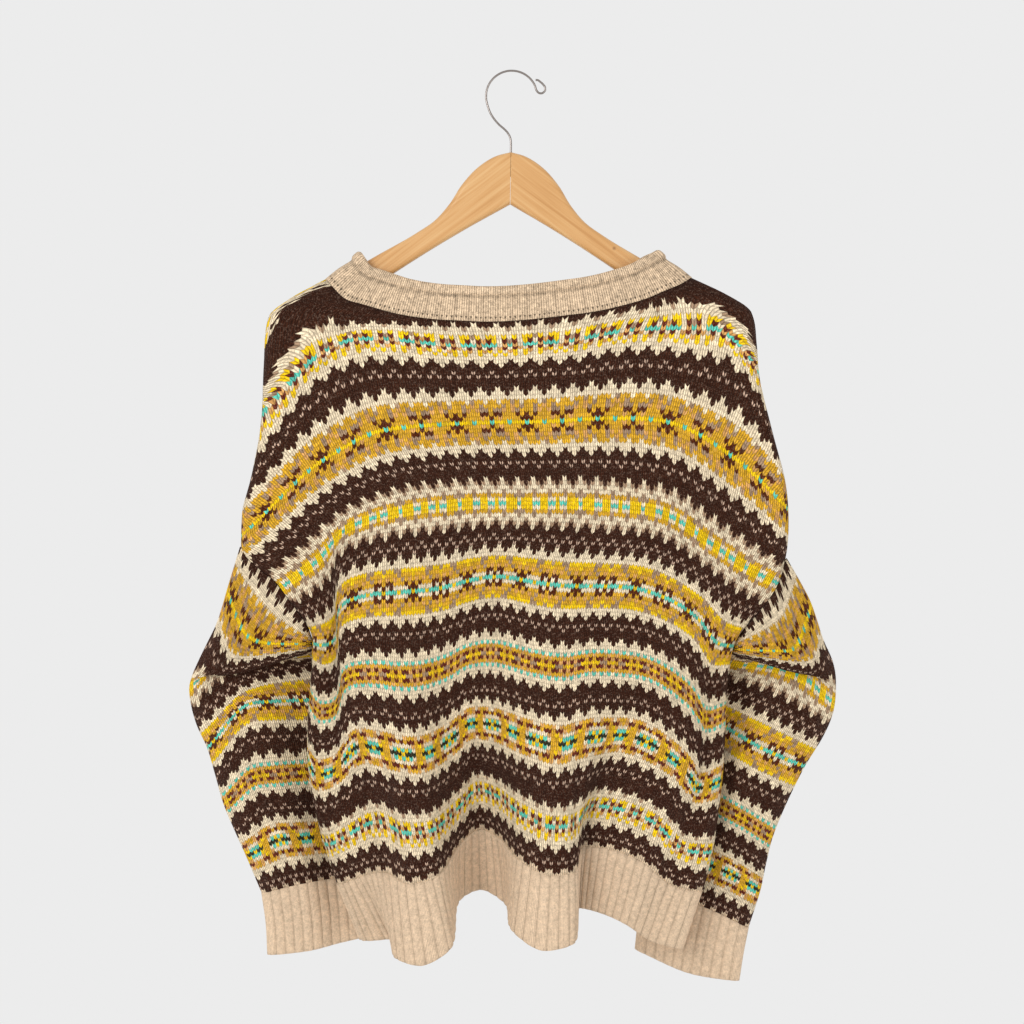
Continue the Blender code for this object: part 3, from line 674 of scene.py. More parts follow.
class Net:
    """A wall's middle surface and normals over two parameters, for points anywhere between its knots."""

    def __init__(self, rows: ArrayLike, columns: ArrayLike | None, points: Array, normals: Array,
                 fine: tuple[int, int] = (360, 620)) -> None:
        """Fills a fine grid from the knots.

        Args:
            rows: the rows' parameters.
            columns: the columns' parameters; none for a tube, whose columns are counted.
            points: the knots.
            normals: the normals at the knots.
            fine: rows and columns of the fine grid.
        """
        last = points.shape[1]
        if columns is None:
            points, normals = (lapped(grid.swapaxes(0, 1)).swapaxes(0, 1) for grid in (points, normals))
            self.columns, ends = np.arange(-LAP, last + LAP + 1, dtype=float), (0, last)
        else:
            self.columns, ends = np.asarray(columns, float), (columns[0], columns[-1])
        self.rows = np.asarray(rows, float)
        self.fine_rows = np.linspace(self.rows[0], self.rows[-1], fine[0])
        self.fine_columns = np.linspace(*ends, fine[1])
        self.points, self.normals = self.fill(points), unit(self.fill(normals))

    def fill(self, grid: Array) -> Array:
        """The grid at every fine row and column."""
        down = through(self.rows, grid, self.fine_rows)
        return through(self.columns, down.swapaxes(0, 1), self.fine_columns).swapaxes(0, 1)

    def at(self, row: Array, column: Array) -> tuple[Array, Array]:
        """Finds places on the wall.

        Args:
            row: row parameters.
            column: column parameters, of the same shape.

        Returns:
            Points and unit normals.
        """
        place = np.interp(row, self.fine_rows, np.arange(len(self.fine_rows)))
        beside = np.interp(column, self.fine_columns, np.arange(len(self.fine_columns)))
        r = np.clip(place.astype(int), 0, len(self.fine_rows) - 2)
        c = np.clip(beside.astype(int), 0, len(self.fine_columns) - 2)
        a, b = (place - r)[..., None], (beside - c)[..., None]

        def blend(grid: Array) -> Array:
            """The grid between its four nearest points."""
            top = grid[r, c] * (1 - b) + grid[r, c + 1] * b
            return top * (1 - a) + (grid[r + 1, c] * (1 - b) + grid[r + 1, c + 1] * b) * a

        return blend(self.points), unit(blend(self.normals))


def dyed(letters: Array, seed: int, stitch_tone: float = 0.07, leg_tone: float = 0.05,
         limits: Pair = (0.7, 1.3)) -> Array:
    """Colours each leg of each stitch, a little uneven as spun wool is.

    Args:
        letters: the yarn's character code, two columns to a stitch.
        seed: start of the random numbers.
        stitch_tone: how far the tone varies from stitch to stitch.
        leg_tone: how far it varies from leg to leg.
        limits: the darkest and the lightest tone.

    Returns:
        Linear colours, one for each leg; alpha is 0 where dark fibres cover all but the middle of a leg.
    """
    rng = np.random.default_rng(seed)
    rows, legs = letters.shape
    by_stitch = rng.normal(0, stitch_tone, (rows, legs // 2 + 1))
    tone = 1 + np.repeat(by_stitch, 2, axis=1)[:, :legs] + rng.normal(0, leg_tone, (rows, legs))
    table = np.ones((max(yarn.letter for yarn in Yarn) + 1, 4))
    for yarn in Yarn:
        table[yarn.letter] = yarn.colour
    table[Yarn.FLECK.letter, 3] = 0
    colours = table[letters]
    colours[..., :3] *= np.clip(tone, *limits)[..., None]
    return colours


def charted(rows: Array, wales: Array) -> Array:
    """Reads the charts.

    Args:
        rows: row numbers, 0 at the middle of the first band.
        wales: wale numbers, 0 at the middle of the panel.

    Returns:
        The yarn's character code for each stitch.
    """
    found = np.full(rows.shape, Yarn.BROWN.letter)
    for row, apart, first in FLECKS:
        found[(rows == row) & (wales % apart == first)] = Yarn.FLECK.letter
    for band in BANDS:
        chart = np.array([[ord(letter) for letter in line] for line in band.chart])
        line = rows - band.middle + band.above
        inside = (line >= 0) & (line < len(chart))
        found[inside] = chart[line[inside], (wales[inside] - band.wale) % chart.shape[1]]
    return found


def add_object(name: str, data: bpy.types.ID) -> bpy.types.Object:
    """Adds an object to the scene.

    Args:
        name: its name.
        data: its mesh, curve, camera or light.

    Returns:
        The object.
    """
    item = bpy.data.objects.new(name, data)
    bpy.context.scene.collection.objects.link(item)
    return item


def add_mesh(name: str, points: Array, faces: list, finish: bpy.types.Material,
             turned: bool = True) -> bpy.types.Object:
    """Adds a smooth mesh.

    Args:
        name: the object's name.
        points: its points.
        faces: the corners' numbers of each face.
        finish: its material.
        turned: whether its faces still have to be turned outwards.

    Returns:
        The object.
    """
    mesh = bpy.data.meshes.new(name)
    mesh.from_pydata((points * MM).tolist(), [], faces)
    mesh.materials.append(finish)
    mesh.shade_smooth()
    if turned:
        bm = bmesh.new()
        bm.from_mesh(mesh)
        bmesh.ops.recalc_face_normals(bm, faces=bm.faces)
        bm.to_mesh(mesh)
        bm.free()
    return add_object(name, mesh)


def hand_over(item: bpy.types.Object, node: str) -> bpy.types.Object:
    """Says what a piece is: it rides the garment's one body and stands for its solid.

    Args:
        item: the piece.
        node: the solid's node.

    Returns:
        The piece.
    """
    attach(item, "root")
    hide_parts(node)
    return item


@dataclass
class Shell:
    """A knitted wall as a mesh: an outer and an inner grid of points, joined at the rims."""

    name: str
    outer: Array
    inner: Array
    loops: Array  # wale, row and rib height at each grid point
    colours: Array  # linear colour of each face of the grid
    closed: bool = False
    inner_shade: float = 0.7  # the wall's inside is drawn darker, as little light reaches it
    digits: int = 3  # points are one where they agree to so many digits of a millimetre

    def faces(self) -> tuple[Array, Array]:
        """Joins both layers and their rims.

        Returns:
            The corners' numbers of each quad, and its colour.
        """
        count = self.outer.shape[0] * self.outer.shape[1]
        grid = quads(*self.outer.shape[:2], ring_columns=self.closed)
        flat, tint = grid.reshape(-1, 4), self.colours.reshape(-1, 4)
        parts, tints = [flat, flat[:, ::-1] + count], [tint, tint * ((self.inner_shade,) * 3 + (1,))]
        rims = [(grid[0], (1, 0), 1, self.colours[0]), (grid[-1], (2, 3), -1, self.colours[-1])]
        if not self.closed:
            rims += [(grid[:, 0], (0, 3), 1, self.colours[:, 0]),
                     (grid[:, -1], (1, 2), -1, self.colours[:, -1])]
        for rim, corners, way, colours in rims:
            here, there = rim[:, corners].T
            parts.append(np.stack([here, there, there + count, here + count], -1)[:, ::way])
            tints.append(colours)
        return np.concatenate(parts), np.concatenate(tints)

    def build(self, finish: bpy.types.Material) -> bpy.types.Object:
        """Makes the object, with points that fall together joined into one.

        Args:
            finish: the wool's material.

        Returns:
            The object.
        """
        points = np.concatenate([self.outer.reshape(-1, 3), self.inner.reshape(-1, 3)])
        loops = np.concatenate([self.loops.reshape(-1, 3)] * 2)
        _, kept, place = np.unique(np.round(points, self.digits), axis=0, return_index=True,
                                   return_inverse=True)
        faces, tints = self.faces()
        faces = place.ravel()[faces]
        # a face whose corners fall together becomes a triangle, or goes
        apart = faces != np.roll(faces, 1, axis=1)
        keep = (apart.sum(axis=1) >= 3) & (faces[:, 0] != faces[:, 2]) & (faces[:, 1] != faces[:, 3])
        polygons = [tuple(face[own]) for face, own in zip(faces[keep], apart[keep])]
        item = add_mesh(self.name, points[kept], polygons, finish, turned=False)
        loop = item.data.attributes.new("loop", "FLOAT_VECTOR", "POINT")
        loop.data.foreach_set("vector", loops[kept].ravel())
        yarn = item.data.attributes.new("yarn", "FLOAT_COLOR", "FACE")
        yarn.data.foreach_set("color", tints[keep].ravel())
        return item


def add_node(tree: bpy.types.NodeTree, kind: str, inputs: list | dict = (),
             **settings: object) -> bpy.types.Node:
    """Adds a shader node with its settings and links.

    Args:
        tree: the node tree.
        kind: the node's type name without "ShaderNode".
        inputs: what its inputs get, in order or by name or number: a node for its first output, a socket,
            or a plain value.
        settings: the node's attributes.

    Returns:
        The node.
    """
    node = tree.nodes.new("ShaderNode" + kind)
    for name, value in settings.items():
        setattr(node, name, value)
    for place, value in inputs.items() if isinstance(inputs, dict) else enumerate(inputs):
        source = value.outputs[0] if isinstance(value, bpy.types.Node) else value
        if isinstance(source, bpy.types.NodeSocket):
            tree.links.new(source, node.inputs[place])
        else:
            node.inputs[place].default_value = source
    return node


def fresh(name: str) -> tuple[bpy.types.Material, Callable[..., bpy.types.Node]]:
    """Starts a material.

    Args:
        name: its name.

    Returns:
        The material, its node tree empty, and add_node for that tree.
    """
    material = bpy.data.materials.new(name)
    material.use_nodes = True
    material.node_tree.nodes.clear()
    return material, partial(add_node, material.node_tree)


class Noise(NamedTuple):
    """A cloudy pattern in real size."""

    lumps: float  # how many lumps lie in 10 mm
    detail: float
    roughness: float = 0.5

    def inputs(self, where: bpy.types.NodeSocket) -> dict:
        """What its node gets."""
        return {"Vector": where, "Scale": self.lumps / CM, "Detail": self.detail, "Roughness": self.roughness}


@dataclass(frozen=True)
class KnitFinish:
    """Carded wool, knitted in stocking stitch, as the eye meets it: matt, with no gloss.

    Each stitch is two rounded legs with painted shade between them, their tone uneven from the carding,
    and loose pale fibres lie over all.
    """

    name: str
    heather: float  # how far the fibres' tone varies
    gap: float  # how dark the painted shade is between the legs of the stitches
    relief: float  # height of a stitch's leg
    fuzz: float  # weight of the halo of loose fibres
    stray: float = 0.25  # how much pale fibre covers the yarn
    between: float = 0.7  # how low the fabric is between two rows, for its bump and for the painted shade there
    groove: float = 0.0  # how dark the painted shade is in the grooves between the ribs
    open_row: float = 0.0  # row of open loops, 0 for none
    tint: str = ""  # plain colour, where the yarn isn't charted
    lint: str = "#B89C88"  # loose pale fibres, which show best on the dark wool
    # A fibre is 0.03 mm thick, too fine to show: tufts of them are drawn, 1.1 mm and 1.6 mm wide.
    tuft: Noise = Noise(9.0, 3.0, 0.65)
    loose: Noise = Noise(6.2, 2.0, 0.7)
    fleck: Noise = Noise(2.6, 2.0, 0.6)  # a lump of one shade from the carding is about a stitch long
    wear: Noise = Noise(0.14, 2.0)  # broad uneven patches, 70 mm wide
    tuft_tone: float = 2.4
    fleck_tone: float = 2.0
    wear_tone: float = 0.12
    top_shade: float = 1.08  # how bright the top of a leg is painted
    leg_power: float = 2.2  # how flat a leg's top is across it
    end_power: float = 5.0  # and along it, to its ends
    groove_height: float = 0.85  # height of a rib, as a share, under which its groove gets painted shade
    # An open loop is painted shade, a dark oval: width over height, where its dark middle ends and its rim
    # starts, and how dark it is.
    eyelet_shape: float = 0.85
    eyelet_rim: Pair = (0.03, 0.10)
    eyelet_shade: float = 0.28
    # How far from a leg's middle a single light stitch starts to fade, and is gone.
    single: Pair = (0.15, 0.65)
    lint_from: Pair = (0.52, 0.74)  # where in their noise the loose fibres start, and are thickest
    tuft_relief: float = 0.35  # height of the tufts, as a share of the leg's
    bump: float = 0.8
    roughness: float = 0.95  # wool scatters nearly all light, so it has hardly any gloss
    fuzz_roughness: float = 0.6
    gloss: float = 0.06

    def material(self) -> bpy.types.Material:
        """Makes the material.

        Returns:
            The material.
        """
        material, add = fresh(self.name)
        wale, row, ridge = add(
            "SeparateXYZ", [add("Attribute", attribute_name="loop").outputs["Vector"]]).outputs
        where = add("TexCoord").outputs["Object"]

        def off_middle(count: bpy.types.Node | bpy.types.NodeSocket) -> bpy.types.Node:
            """How far a count is from the middle between two whole numbers, 0 to 1."""
            away = add("Math", [add("Math", [count], operation="FRACT"), 0.5], operation="SUBTRACT")
            return add("Math", [add("Math", [away], operation="ABSOLUTE"), 2.0], operation="MULTIPLY")

        # a leg is a rounded strand: highest along its middle, lowest where it meets the next strand
        end = off_middle(row)
        side = add("Math", [off_middle(add("Math", [wale, 2.0], operation="MULTIPLY")), self.leg_power],
                   operation="POWER")
        tip = add("Math", [add("Math", [end, self.end_power], operation="POWER"), self.between],
                  operation="MULTIPLY")
        low = add("Math", [side, tip], operation="MAXIMUM", use_clamp=True)
        tuft, fleck, wear, loose = (add("TexNoise", noise.inputs(where))
                                    for noise in (self.tuft, self.fleck, self.wear, self.loose))
        tones = [add("Math", [add("Math", [noise, 0.5], operation="SUBTRACT"), weight], operation="MULTIPLY")
                 for noise, weight in ((tuft, self.tuft_tone * self.heather),
                                       (fleck, self.fleck_tone * self.heather), (wear, self.wear_tone))]
        tone = add("Math", [add("Math", tones[:2], operation="ADD"), tones[2]], operation="ADD")
        # painted shade: where a leg is low, at its sides and its ends, it is drawn darker, and its top is
        # drawn brighter
        lit = add("Math", [self.top_shade, add("Math", [low, self.gap], operation="MULTIPLY")],
                  operation="SUBTRACT")
        shade = add("Math", [add("Math", [1.0, tone], operation="ADD"), lit], operation="MULTIPLY")
        # painted shade: the grooves between the ribs and the line under the collar's rolled edge get little
        # light, so they are drawn darker
        groove = add("MapRange", [ridge, 0.0, self.groove_height, 1.0 - self.groove, 1.0])
        shade = add("Math", [shade, groove], operation="MULTIPLY")
        if self.open_row:
            # the loops that link the collar on are open: each is drawn as painted shade, a dark oval in its
            # middle
            inside = add("Math", [add("Math", [wale], operation="FRACT"), 0.5], operation="SUBTRACT")
            beside = add("Math", [add("Math", [row, self.open_row], operation="SUBTRACT"), self.eyelet_shape],
                         operation="MULTIPLY")
            reach = add("Math", [add("Math", [way, way], operation="MULTIPLY") for way in (inside, beside)],
                        operation="ADD")
            hole = add("MapRange", [reach, *self.eyelet_rim, self.eyelet_shade, 1.0])
            shade = add("Math", [shade, hole], operation="MULTIPLY")
        if self.tint:
            colour = linear(self.tint)[:3]
        else:
            # where a light stitch shows singly, the brown around it covers all but its middle
            yarn = add("Attribute", attribute_name="yarn")
            edge = add("Math", [side, add("Math", [end, 2.0], operation="POWER")], operation="MAXIMUM")
            middle = add("MapRange", [edge, *self.single, 1.0, 0.0])
            bare = add("Math", [yarn.outputs["Alpha"], middle], operation="MAXIMUM")
            colour = add("Mix", {0: bare, 6: Yarn.BROWN.colour, 7: yarn.outputs["Color"]},
                         data_type="RGBA").outputs[2]
        shaded = add("VectorMath", {0: colour, "Scale": shade}, operation="SCALE")
        stray = add("MapRange", [loose, *self.lint_from, 0.0, self.stray])
        mixed = add("Mix", {0: stray, 6: shaded, 7: linear(self.lint)}, data_type="RGBA")
        height = add("Math", [1.0, low], operation="SUBTRACT")
        rise = add("Math", [height, add("Math", [tuft, self.tuft_relief], operation="MULTIPLY")],
                   operation="ADD")
        bump = add("Bump", {"Height": rise, "Strength": self.bump, "Distance": self.relief * MM})
        add("OutputMaterial", [add("BsdfPrincipled", {
            "Base Color": mixed.outputs[2], "Roughness": self.roughness, "Sheen Weight": self.fuzz,
            "Sheen Roughness": self.fuzz_roughness, "Specular IOR Level": self.gloss, "Normal": bump})])
        return material


@dataclass(frozen=True)
class WoodFinish:
    """Light hardwood, sawn along the arm, sanded and lacquered clear.

    That gives long fine grain lines down each arm, a small dark knot, and a soft gloss over the whole.
    """

    name: str = "lacquered light wood"
    # The grain's shades: its two ends, then its middle.
    ramp: tuple[tuple[float, str], ...] = ((0.30, "#BB8548"), (0.68, "#D6A970"), (0.48, "#CB985C"))
    knot: str = "#6E421E"
    knot_at: Triple = (0.0955, -0.006, -0.1654)  # metres
    knot_radii: Pair = (0.0006, 0.0022)  # metres
    knot_strength: float = 0.6
    slope: Pair = (0.8, 0.6)  # how far an arm runs outwards and down in one step along it
    # The grain is drawn 3 mm wide, twice its real width, which would be too fine to show, and 110 mm long.
    across: float = 3.3  # grain lines in 10 mm
    along: float = 0.09
    deep: float = 0.6
    other_board: float = 5.0  # the right arm is cut from other wood, so many lines further on
    cloud: Noise = Noise(0.18, 2.0)  # cloudy patches 55 mm wide
    shares: Pair = (0.8, 0.2)  # of the grain and of the clouds in the tone
    grain_detail: float = 4.0
    grain_wave: float = 0.4
    grain_bump: float = 0.15
    grain_depth: float = 0.2  # the lacquer fills most of the pores
    roughness: float = 0.42
    lacquer: Pair = (0.25, 0.2)  # weight and roughness of the clear coat

    def material(self) -> bpy.types.Material:
        """Makes the material.

        Returns:
            The material.
        """
        material, add = fresh(self.name)
        where = add("TexCoord").outputs["Object"]
        x, y, z = add("SeparateXYZ", [where]).outputs
        outwards = add("Math", [x], operation="ABSOLUTE")
        # the grain runs down each arm, so places are measured along the arm's own slope and across it
        out, down = self.slope
        along, across = (
            add("Math", [add("Math", [outwards, first], operation="MULTIPLY"),
                         add("Math", [z, second], operation="MULTIPLY")], operation=operation)
            for first, second, operation in ((out, down, "SUBTRACT"), (down, out, "ADD")))
        arm = add("Math", [add("Math", [x, 0.0], operation="GREATER_THAN"), self.other_board],
                  operation="MULTIPLY")
        lines = [add("Math", [way, count / CM], operation="MULTIPLY")
                 for way, count in ((along, self.along), (across, self.across), (y, self.deep))]
        lines[2] = add("Math", [arm, lines[2]], operation="ADD")
        grain = add("TexNoise", {"Vector": add("CombineXYZ", lines), "Scale": 1.0,
                                 "Detail": self.grain_detail, "Distortion": self.grain_wave})
        cloud = add("TexNoise", self.cloud.inputs(where))
        tone = add("Math", [add("Math", [noise, share], operation="MULTIPLY")
                            for noise, share in zip((grain, cloud), self.shares)], operation="ADD")
        ramp = add("ValToRGB", [tone])
        stops = ramp.color_ramp.elements
        for n, (place, code) in enumerate(self.ramp):
            stop = stops[n] if n < 2 else stops.new(place)
            stop.position, stop.color = place, linear(code)
        away = add("VectorMath", [where, self.knot_at], operation="DISTANCE").outputs["Value"]
        knot = add("MapRange", [away, *self.knot_radii, self.knot_strength, 0.0])
        colour = add("Mix", {0: knot, 6: ramp, 7: linear(self.knot)}, data_type="RGBA").outputs[2]
        bump = add("Bump", {"Height": grain, "Strength": self.grain_bump, "Distance": self.grain_depth * MM})
        coat, coat_roughness = self.lacquer
        add("OutputMaterial", [add("BsdfPrincipled", {
            "Base Color": colour, "Roughness": self.roughness, "Coat Weight": coat,
            "Coat Roughness": coat_roughness, "Normal": bump})])
        return material


@dataclass(frozen=True)
class WireFinish:
    """Steel wire, drawn and then plated: bright, with fine drawing marks that break its reflections."""

    name: str = "plated steel wire"
    colour: str = "#948C87"
    marks: Noise = Noise(7.0, 2.0)  # drawn 1.4 mm long; the real scratches are too fine to show
    marks_from: Pair = (0.3, 0.7)  # where in their noise the wire is smoothest, and roughest
    roughness: Pair = (0.20, 0.26)

    def material(self) -> bpy.types.Material:
        """Makes the material.

        Returns:
            The material.
        """
        material, add = fresh(self.name)
        marks = add("TexNoise", self.marks.inputs(add("TexCoord").outputs["Object"]))
        rough = add("MapRange", [marks, *self.marks_from, *self.roughness])
        add("OutputMaterial", [add("BsdfPrincipled", {
            "Base Color": linear(self.colour), "Metallic": 1.0, "Roughness": rough})])
        return material


class Finishes:
    """The materials, each made once."""

    def __init__(self) -> None:
        """Makes the materials."""
        # two-colour knitting lies flat and taut, so every stitch shows sharply
        self.stranded = KnitFinish("stranded wool", heather=0.50, gap=0.62, relief=1.0, fuzz=0.02).material()
        # one soft oatmeal yarn, spun of several shades; the ridges take the light and the grooves stay dim
        self.rib = KnitFinish("heathered rib wool", heather=0.36, gap=0.24, relief=0.5, fuzz=0.03, stray=0.10,
                              between=0.3, groove=0.22, tint="#DBC0A2").material()
        # the same yarn on finer needles, coarser to the eye, with a row of open loops where it is linked on,
        # painted as dark shade
        self.collar = KnitFinish("linked collar rib", heather=0.75, gap=0.48, relief=0.9, fuzz=0.03,
                                 stray=0.20, between=0.25, groove=0.45,
                                 open_row=EYELET_ROW, tint="#DBC0A0").material()
        self.wood, self.wire = WoodFinish().material(), WireFinish().material()


def slanted(columns: int) -> Array:
    """How far down each column of points is, in rows: every second one is where a stitch's legs meet."""
    return np.where(np.arange(columns) % 2, LEG_DROP, 0.0)[None, :]


@dataclass
class Panel:
    """A body panel, stitch by stitch, from the neck and shoulders to the rib."""

    face: Face
    body: Body
    grid: PanelGrid
    material: bpy.types.Material
    thickness: float = KNIT
    first_row: int = -42  # the shoulders' first row, counted from the first band's middle
    band_course: float = 22  # the course of that middle
    # Wales that the shoulders have cast off at a side, by course: the fabric narrows to the neck.
    cast_off: tuple[Pair, ...] = ((0, 26.7), (22, 18.8), (101, 2.2), (180, 0))
    side_wales: int = 2  # wales beside the panel's own, which its cast-off reaches
    wale_wander: float = 0.035  # wales that a stitch strays from its wale
    flat: Pair = (0.547, 0.56)
    area: float = 0.262
    seeds: tuple[int, int] = (7, 3)  # of the back's stitches and of its colours
    crease_width: float = 470  # the panel's width, near enough, to measure the creases across it
    calm: Pair = (0.05, 60)  # share of the width and courses above the rib in which they fade
    # Where the first band turns down to a side its rows stand apart: how far, where, and over how much.
    turn: Triple = (0.95, 0.10, 0.085)
    # The front's first band shows over the left shoulder: its rows there, the wales of its cream and of
    # its yellow, and the wales that its teeth add.
    strip_rows: tuple[int, int] = (-42, -13)
    strip_wales: Pair = (2.2, 1.4)
    strip_teeth: tuple[float, ...] = (0.5, 1.0, 0.0, 1.5)

    def creased(self, share: Array, course: Array, points: Array, normals: Array) -> Array:
        """Moves points by the small creases.

        Args:
            share: shares of the width.
            course: courses.
            points: the points there.
            normals: the unit normals there.

        Returns:
            The moved points.
        """
        moved = np.zeros(share.shape)
        x, y, width = share * self.crease_width, course, self.crease_width
        for crease in CREASES:
            (x0, y0), (x1, y1) = ((place[0] * width, place[1]) for place in (crease.start, crease.end))
            length = math.hypot(x1 - x0, y1 - y0)
            along = ((x - x0) * (x1 - x0) + (y - y0) * (y1 - y0)) / length**2
            away = ((x - x0) * (y1 - y0) - (y - y0) * (x1 - x0)) / length
            ends = np.clip(1 - (2 * along - 1) ** 2, 0, 1)
            moved += crease.depth * ends * np.exp(-((away / crease.width) ** 2))
        beside, above = self.calm
        calm = (np.clip(np.minimum(share, 1 - share) / beside, 0, 1)
                * np.clip((RIB_COURSE - course) / above, 0, 1))
        return points + normals * (moved * calm)[..., None]

    def above_band(self, share: Array, course: Array) -> Array:
        """Makes the rows above the first band as high as a row along every wale.

        Args:
            share: shares of the width.
            course: courses, evenly a row apart.

        Returns:
            The courses as the surface counts them.
        """
        shoulder, band = BODY[1], BODY[2]
        length = np.hypot(np.subtract(band.across, shoulder.across), np.subtract(band.below, shoulder.below))
        rate = np.interp(share, self.body.shares, (band.course - shoulder.course) / length)
        more, place, width = self.turn
        rate *= 1 + more * np.exp(-(((np.minimum(share, 1 - share) - place) / width) ** 2))
        return np.where(course < self.band_course,
                        self.band_course + (course - self.band_course) * rate, course)

    def far_strip(self, letters: Array, stitch: Array, from_edge: Array) -> None:
        """Lets the other panel's first band show along the left shoulder, in teeth a wale or two wide.

        Args:
            letters: the chart to change.
            stitch: each stitch's row.
            from_edge: wales between it and the panel's left edge.
        """
        (first, last), (cream, yellow) = self.strip_rows, self.strip_wales
        there = (stitch >= first) & (stitch <= last)
        teeth = np.array(self.strip_teeth)[stitch % len(self.strip_teeth)]
        letters[there & (from_edge < cream + teeth)] = Yarn.CREAM.letter
        letters[there & (from_edge < yellow) & (stitch % 3 > 0)] = Yarn.YELLOW.letter

    def build(self) -> bpy.types.Object:
        """Makes the panel.

        Returns:
            The panel's piece.
        """
        front = self.face is Face.FRONT
        rows = int(math.ceil((RIB_COURSE - self.band_course) / ROW)) - self.first_row - 1
        wales = np.arange(-2 * self.side_wales, 2 * (WALES + self.side_wales) + 1) / 2
        rng = np.random.default_rng(self.seeds[0] + front)
        row = np.arange(rows + 2)[:, None] + slanted(len(wales)) - LEG_DROP
        row = row + rng.normal(0, ROW_WANDER, row.shape)
        course = self.band_course + (self.first_row + row) * ROW
        cast_off = np.interp(course, *zip(*self.cast_off))
        uneven = wales[None, :] + rng.normal(0, self.wale_wander, row.shape)
        share = np.clip((uneven - cast_off) / (WALES - 2 * cast_off), 0, 1)
        share[:, 0], share[:, -1] = 0, 1
        share = self.body.spread(share, course)
        placed = self.above_band(share, course)
        if front:
            top, end = self.body.neck_edge(share), ARMHOLE_TOP[Side.LEFT]
            placed = np.where(
                placed < end, NECK_COURSE + (placed - top) * (end - NECK_COURSE) / (end - top), placed)
        # the rows that would lie above the neck edge end in its points
        hidden = np.argmax(placed > NECK_COURSE, axis=0) - 1
        for column in np.flatnonzero(hidden > 0):
            share[:hidden[column], column] = share[hidden[column], column]
        placed = np.clip(placed, NECK_COURSE, RIB_COURSE)
        points, normals = Net(PANEL_COURSES, *self.grid).at(placed, share)
        points = self.creased(share, placed, points, normals)
        points[-1] += unit(points[-1] - points[-4]) * SEAM_COVER
        wale, stitch = np.meshgrid(np.floor(wales[:-1]).astype(int) - WALES // 2,
                                   np.arange(rows + 1) + self.first_row)
        letters = charted(stitch, wale)
        if not front:
            self.far_strip(letters, stitch, wales[:-1][None, :] - cast_off[:-1, :-1])
        # the last row is in the rib's yarn, and so are two wales of four in the row above
        letters[-2, wale[0] % 4 < 2] = letters[-1] = Yarn.OAT.letter
        loops = np.stack(np.broadcast_arrays(wales, np.arange(rows + 2)[:, None], 1.0), -1)
        name, way = f"{self.face.word}_panel", normals * self.thickness / 2
        shell = Shell(name + "_knit", points + way, points - way, loops, dyed(letters, self.seeds[1] + front))
        return hand_over(shell.build(self.material), name)


@dataclass
class RibBand:
    """A band of rib on the end of a panel or a sleeve."""

    name: str
    net: Net
    ribs: int
    closed: bool
    span: float  # how many columns of the net it goes across
    flat: Pair
    material: bpy.types.Material
    steps: int = 8
    length: float = 76
    relief: Pair = (1.2, -0.3)  # height of a ridge, and of the grooves, in the rib's relief

    def build(self) -> bpy.types.Object:
        """Makes the band, its ridges raised on the outer side.

        Returns:
            The band's piece.
        """
        rows = int(round(self.length / ROW)) + 1
        columns = self.ribs * self.steps + (not self.closed)
        # the legs of the lowest and highest stitches end straight on the band's edges
        course = np.arange(rows)[:, None] * self.length / (rows - 1) + slanted(columns) * ROW
        course = np.clip(course, 0, self.length)
        course[0] = 0
        column = np.arange(columns) / (self.ribs * self.steps)
        points, normals = self.net.at(course, np.broadcast_to(column * self.span, course.shape))
        swell = np.resize(ribbed(self.ribs, self.steps), columns)
        ridge, groove = self.relief
        lift = (RIB_WALL / 2 + RIB_RELIEF * (ridge * swell + groove))[None, :, None]
        loops = np.stack(np.broadcast_arrays(np.arange(columns) / 2, np.arange(rows)[:, None], swell), -1)
        plain = np.ones((rows - 1, columns - (not self.closed), 4))
        shell = Shell(self.name + "_knit", points + normals * lift, points - normals * (RIB_WALL / 2), loops,
                      plain, self.closed)
        return hand_over(shell.build(self.material), self.name)


@dataclass
class SleeveKnit:
    """A sleeve, stitch by stitch, from its armhole to its cuff."""

    sleeve: Sleeve
    material: bpy.types.Material
    wales: int = 72
    first_row: int = 12  # the sleeve's first row is the body's row of this number
    flat: Pair = (0.28, 0.389)
    seeds: tuple[int, int] = (4, 11)  # of the left one's stitches, and of the colours

    def build(self) -> bpy.types.Object:
        """Makes the sleeve.

        Returns:
            The sleeve's piece.
        """
        net = Net(SLEEVE_COURSES, None, self.sleeve.points, self.sleeve.normals, fine=(300, 320))
        rows = int(round(CUFF_COURSE / ROW))
        leg = np.arange(2 * self.wales)
        rng = np.random.default_rng(self.seeds[0] + (self.sleeve.side is Side.RIGHT))
        course = np.arange(rows + 1)[:, None] * CUFF_COURSE / rows + slanted(len(leg)) * ROW
        course = np.clip(course + rng.normal(0, ROW_WANDER * ROW, course.shape), 0, CUFF_COURSE)
        course[0] = 0
        around = 2 * self.sleeve.half
        points, normals = net.at(course, np.broadcast_to(leg * around / len(leg), course.shape))
        points[-1] += unit(points[-1] - points[-4]) * SEAM_COVER
        wale, stitch = np.meshgrid(leg // 2, np.arange(rows) + self.first_row)
        letters = charted(stitch, wale)
        letters[-1, wale[0] % 4 < 2] = Yarn.OAT.letter
        loops = np.stack(np.broadcast_arrays(leg / 2, np.arange(rows + 1)[:, None], 1.0), -1)
        name, way = f"{self.sleeve.side.word}_sleeve", normals * KNIT / 2
        shell = Shell(name + "_knit", points + way, points - way, loops, dyed(letters, self.seeds[1]), True)
        return hand_over(shell.build(self.material), name)


